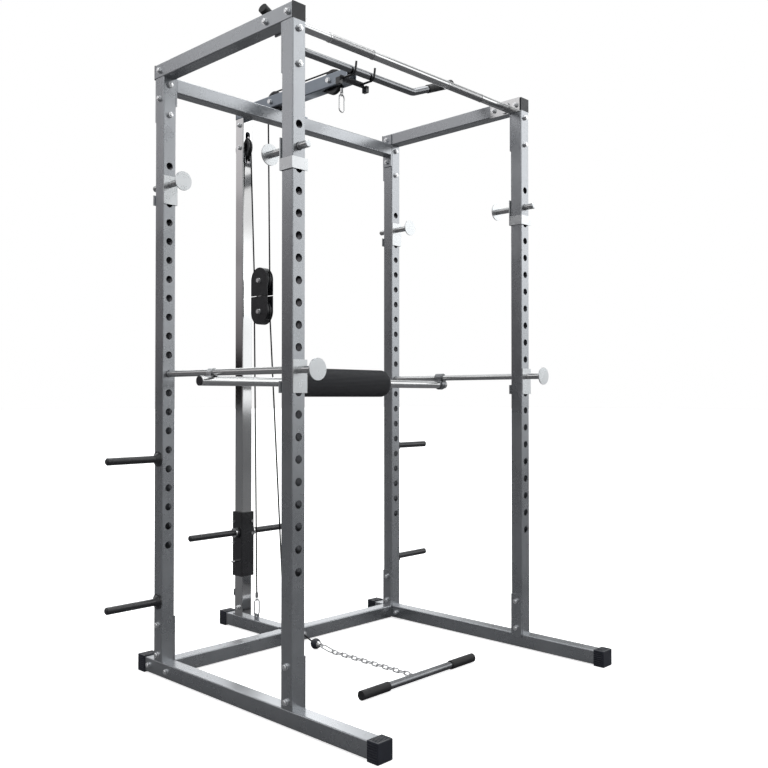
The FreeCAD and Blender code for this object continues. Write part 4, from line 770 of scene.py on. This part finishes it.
# ------------------------------------------------------------------ sub-assemblies
@dataclass
class BoltCrowns:
    """Pressed crowns on the hex heads of the frame bolts, as one mesh."""

    head_height: float = 6.4 * MM
    radius: float = 7.4 * MM
    rise: float = 1.8 * MM
    sunk: float = 0.4 * MM
    dish: float = 0.25 * MM
    sides: int = 24
    head_sides: int = 6
    head_reach: float = 20.0 * MM
    tolerance: float = 0.1 * MM

    def build(self, palette: Palette) -> bpy.types.Object:
        """Press a crown on every head and join them.

        Args:
            palette: the finishes.

        Returns:
            The crowns.
        """
        select_only(*[self.press(spot, way) for spot, way in self.find_heads()])
        bpy.ops.object.join()
        piece = start_piece("bolt_crowns")
        settle(piece, 40.0)
        palette.dress(piece, FASTENER_ZINC)
        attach(piece, "frame")
        return piece

    def press(self, spot: Vector, way: Vector) -> bpy.types.Object:
        """Model one crown: a low disc with its rim rolled over.

        Args:
            spot: middle of the head's outer face.
            way: direction out of the head.

        Returns:
            The crown.
        """
        clear_selection()
        depth = self.rise + self.sunk
        bpy.ops.mesh.primitive_cylinder_add(
            vertices=self.sides, radius=self.radius, depth=depth, end_fill_type="NGON",
            location=spot + way * (depth / 2 - self.sunk), rotation=way.to_track_quat("Z", "Y").to_euler())
        crown = start_piece("bolt_crown")
        bpy.ops.object.transform_apply(location=True, rotation=True, scale=True)
        choose_faces(crown, lambda face: face.normal.dot(way) > FACING)
        bpy.ops.mesh.bevel(offset=self.rise * 0.9, segments=4, profile=0.5)
        choose_faces(crown, lambda face: face.normal.dot(way) > SQUARE_ON)
        bpy.ops.mesh.inset(thickness=self.radius * 0.35, depth=self.dish)
        bpy.ops.object.mode_set(mode="OBJECT")
        return crown

    def find_heads(self) -> list[tuple[Vector, Vector]]:
        """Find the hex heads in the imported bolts, from their side flats and their shanks.

        Returns:
            The middle of each head's outer face, and the direction out of it.
        """
        flats: list[tuple[int, Vector]] = []
        shanks: list[Vector] = []
        for points in loose_parts(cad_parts["frame_bolts"].data):
            low = Vector([min(point[axis] for point in points) for axis in range(3)])
            high = Vector([max(point[axis] for point in points) for axis in range(3)])
            spot, extent = (low + high) / 2, high - low
            if len(points) == 4:
                flats += [(axis, spot) for axis in range(3)
                          if abs(extent[axis] - self.head_height) < self.tolerance]
            elif max(extent) > 3 * self.head_height and min(extent) > self.head_height:
                shanks.append(spot)
        heads: list[tuple[Vector, Vector]] = []
        while flats:
            axis, first = flats[0]
            group = [spot for other, spot in flats
                     if other == axis and (spot - first).length < self.head_reach
                     and abs(spot[axis] - first[axis]) < self.tolerance]
            flats = [(other, spot) for other, spot in flats if other != axis or spot not in group]
            if len(group) != self.head_sides:
                continue
            centre = sum(group, Vector()) / len(group)
            shank = min(shanks, key=lambda spot: (spot - centre).length)
            way = Vector([0.0, 0.0, 0.0])
            way[axis] = math.copysign(1.0, centre[axis] - shank[axis])
            heads.append((centre + way * self.head_height / 2, way))
        return heads


@dataclass
class FoamRoller:
    """The foam sleeve on the knee hold-down, with rounded ends and a hole for the tube."""

    tube_radius: float = 16.3 * MM
    rings: int = 64
    lengthwise: int = 30
    rounding: float = 26.0 * MM
    least_wall: float = 1.5 * MM
    dimple: float = 0.35 * MM
    dimple_size: float = 30.0 * MM

    def build(self, palette: Palette) -> bpy.types.Object:
        """Model, dress and attach the roller.

        Args:
            palette: the finishes.

        Returns:
            The roller.
        """
        low, high = corners("foam_roller")
        radius, length, centre = (high.z - low.z) / 2, high.x - low.x, (low + high) / 2
        clear_selection()
        bpy.ops.mesh.primitive_cylinder_add(
            vertices=self.rings, radius=radius, depth=length, end_fill_type="NGON", location=centre,
            rotation=(0.0, math.pi / 2, 0.0))
        roller = start_piece("foam_sleeve")
        bpy.ops.object.transform_apply(location=True, rotation=True, scale=True)
        self.shape_ends(roller, centre, radius, length)
        self.pit(roller)
        settle(roller, 60.0)
        palette.dress(roller, FOAM)
        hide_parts("foam_roller")
        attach(roller, "roller")
        return roller

    def shape_ends(self, roller: bpy.types.Object, centre: Vector, radius: float, length: float) -> None:
        """Round the ends and open them for the tube.

        Args:
            roller: the sleeve.
            centre: its middle.
            radius: its outside radius.
            length: its length.
        """
        rounding = min(self.rounding, radius - self.tube_radius - self.least_wall)
        choose_faces(roller, lambda face: abs(face.normal.x) > FACING)
        bpy.ops.mesh.inset(thickness=radius - self.tube_radius, depth=0.0)
        choose_faces(roller, lambda face: abs(face.normal.x) > FACING and len(face.verts) > 4)
        bpy.ops.mesh.delete(type="FACE")
        mesh = bmesh.from_edit_mesh(roller.data)
        ends = [edge for edge in mesh.edges if len(edge.link_faces) == 1]
        for edge in mesh.edges:
            edge.select_set(False)
        for edge in ends:
            edge.select_set(True)
        bmesh.update_edit_mesh(roller.data)
        bpy.ops.mesh.select_mode(type="EDGE")
        bpy.ops.mesh.bridge_edge_loops()
        mesh = bmesh.from_edit_mesh(roller.data)
        for edge in mesh.edges:
            rim = all(abs(abs(vertex.co.x - centre.x) - length / 2) < TOUCHING for vertex in edge.verts)
            outer = all(math.hypot(vertex.co.y - centre.y, vertex.co.z - centre.z) > radius * 0.98
                        for vertex in edge.verts)
            edge.select_set(rim and outer)
        bmesh.update_edit_mesh(roller.data)
        bpy.ops.mesh.bevel(offset=rounding, segments=7, profile=0.5)
        bpy.ops.object.mode_set(mode="OBJECT")
        cut_lengths(Axis.X, centre.x - length / 2, centre.x + length / 2, self.lengthwise)
        bpy.ops.mesh.select_all(action="SELECT")
        bpy.ops.mesh.normals_make_consistent(inside=False)
        bpy.ops.object.mode_set(mode="OBJECT")

    def pit(self, roller: bpy.types.Object) -> None:
        """Press the slight unevenness of soft foam into the sleeve.

        Args:
            roller: the sleeve.
        """
        apply_modifier(roller, "SUBSURF", levels=1, render_levels=1, subdivision_type="SIMPLE")
        clouds = bpy.data.textures.new("foam_unevenness", "CLOUDS")
        clouds.noise_scale = self.dimple_size
        apply_modifier(roller, "DISPLACE", texture=clouds, strength=self.dimple, mid_level=0.7,
                       texture_coords="LOCAL")


@dataclass
class CableDrop:
    """A straight run of cable between the frame and a moving body."""

    name: str
    node: str
    body: str
    radius: float = 3.0 * MM
    sides: int = 20
    runs: int = 48

    def build(self, palette: Palette) -> bpy.types.Object:
        """Model the run and dress it.

        Args:
            palette: the finishes.

        Returns:
            The run of cable.
        """
        low, high = corners(self.node)
        clear_selection()
        bpy.ops.mesh.primitive_cylinder_add(
            vertices=self.sides, radius=self.radius, depth=high.z - low.z, end_fill_type="NGON",
            location=(low + high) / 2)
        run = start_piece(self.name)
        cut_lengths(Axis.Z, low.z, high.z, self.runs)
        bpy.ops.object.mode_set(mode="OBJECT")
        settle(run)
        palette.dress(run, CABLE_SHEATH)
        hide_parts(self.node)
        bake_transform(run)
        return run


# ------------------------------------------------------------------ studio
@dataclass(frozen=True)
class Panel:
    """A square soft light."""

    name: str
    place: Point
    size: float
    power: float


PANELS = (
    Panel("key_panel", (4.6, -4.2, 3.6), 3.4, 30.0),
    Panel("top_panel", (0.4, -0.6, 5.2), 3.2, 75.0),
    Panel("left_panel", (-4.6, 3.6, 4.2), 2.4, 5.0),
    Panel("back_panel", (3.0, 4.8, 3.4), 2.4, 16.0),
)


@dataclass
class Studio:
    """The floor, the lights, the world and the camera."""

    eye: Point = (-2.2609, -2.3546, 0.9605)
    yaw: float = 46.27
    pitch: float = 0.87
    lens: float = 41.31
    sensor: float = 36.0
    view_end: float = 200.0
    floor_size: float = 120.0
    floor_gap: float = 0.5 * MM
    aim: Point = (0.0, 0.0, 1.0)
    room_dark: float = 0.07
    room_bright: float = 1.25
    room_gaps: float = 0.2
    room_lights: float = 1.2
    room_way: Point = (0.42, -0.38, 2.2)
    room_stretch: Point = (1.0, 1.0, 2.6)
    room_clutter: float = 3.4
    low_tint: Colour = (1.0, 0.93, 0.96)
    high_tint: Colour = (0.97, 0.99, 1.0)

    def build(self, palette: Palette) -> None:
        """Set up the floor, the light and the camera.

        Args:
            palette: the finishes.
        """
        self.lay_floor(palette)
        self.hang_lights()
        self.set_world()
        self.place_camera()

    def lay_floor(self, palette: Palette) -> None:
        """Lay a plain pale floor under the boots."""
        clear_selection()
        bpy.ops.mesh.primitive_plane_add(size=self.floor_size, location=(0.0, 0.0, -self.floor_gap))
        floor = start_piece("studio_floor")
        palette.dress(floor, FLOOR)

    def hang_lights(self) -> None:
        """Hang the soft panels and point them at the middle of the cage."""
        for panel in PANELS:
            light = bpy.data.lights.new(panel.name, "AREA")
            light.shape = "SQUARE"
            light.size = panel.size
            light.energy = panel.power
            lamp = bpy.data.objects.new(panel.name, light)
            bpy.context.scene.collection.objects.link(lamp)
            turn = (Vector(self.aim) - Vector(panel.place)).to_track_quat("-Z", "Y")
            lamp.matrix_world = Matrix.LocRotScale(Vector(panel.place), turn, None)

    def set_world(self) -> None:
        """Show plain white behind the cage, and light it from a room that brightens upwards."""
        world = bpy.data.worlds.new("studio")
        world.use_nodes = True
        world.node_tree.nodes.clear()
        graph = Graph(world.node_tree)
        way = graph.add("TexCoord").outputs["Generated"]
        facing = graph.add("VectorMath", {"operation": "DOT_PRODUCT"})
        graph.feed(facing, 0, way)
        graph.feed(facing, 1, self.room_way)
        rise = graph.spread(facing.outputs["Value"], -0.5, 0.6)
        stretched = graph.add("Mapping", None, Vector=way, Scale=self.room_stretch)
        clutter = graph.add("TexNoise", None, Vector=stretched.outputs["Vector"], Scale=self.room_clutter,
                            Detail=2.0, Roughness=0.4)
        patches = graph.spread(clutter.outputs["Fac"], 0.44, 0.54, self.room_gaps, self.room_lights)
        slope = graph.spread(rise, 0.0, 1.0, self.room_dark, self.room_bright)
        room = graph.add("Background", None, Color=graph.mix(rise, self.low_tint, self.high_tint),
                         Strength=graph.maths("MULTIPLY", slope, patches))
        seen = graph.add("Background", None, Color=(*WHITE, 1.0), Strength=1.0)
        choice = graph.add("MixShader")
        graph.feed(choice, 0, graph.add("LightPath").outputs["Is Camera Ray"])
        graph.feed(choice, 1, room.outputs["Background"])
        graph.feed(choice, 2, seen.outputs["Background"])
        output = graph.add("OutputWorld")
        graph.feed(output, "Surface", choice.outputs["Shader"])
        bpy.context.scene.world = world
        bpy.context.scene.view_settings.view_transform = "Standard"

    def place_camera(self) -> None:
        """Set the camera at eye height at the front left corner."""
        camera = bpy.data.cameras.new("camera")
        camera.lens = self.lens
        camera.sensor_width = self.sensor
        camera.clip_end = self.view_end
        holder = bpy.data.objects.new("camera", camera)
        bpy.context.scene.collection.objects.link(holder)
        holder.location = self.eye
        holder.rotation_euler = (math.radians(90.0 + self.pitch), 0.0, math.radians(-self.yaw))
        bpy.context.scene.camera = holder


def report(pieces: Iterable[bpy.types.Object]) -> None:
    """Log the name and the size of each new piece.

    Args:
        pieces: the new pieces.
    """
    for piece in pieces:
        LOG.info("%s: %d faces", piece.name, len(piece.data.polygons))


def main() -> None:
    """Build everything in order."""
    logging.basicConfig(level=logging.INFO, format="%(name)s: %(message)s")
    palette = Palette()
    Studio().build(palette)
    palette.dress_frame()
    pieces = [
        BoltCrowns().build(palette),
        FoamRoller().build(palette),
        CableDrop("lat_cable_run", "lat_cable_drop", "lat_end", runs=40).build(palette),
        CableDrop("carriage_cable_run", "carriage_cable_drop", "carriage").build(palette),
    ]
    report(pieces)


if __name__ == "__main__":
    main()
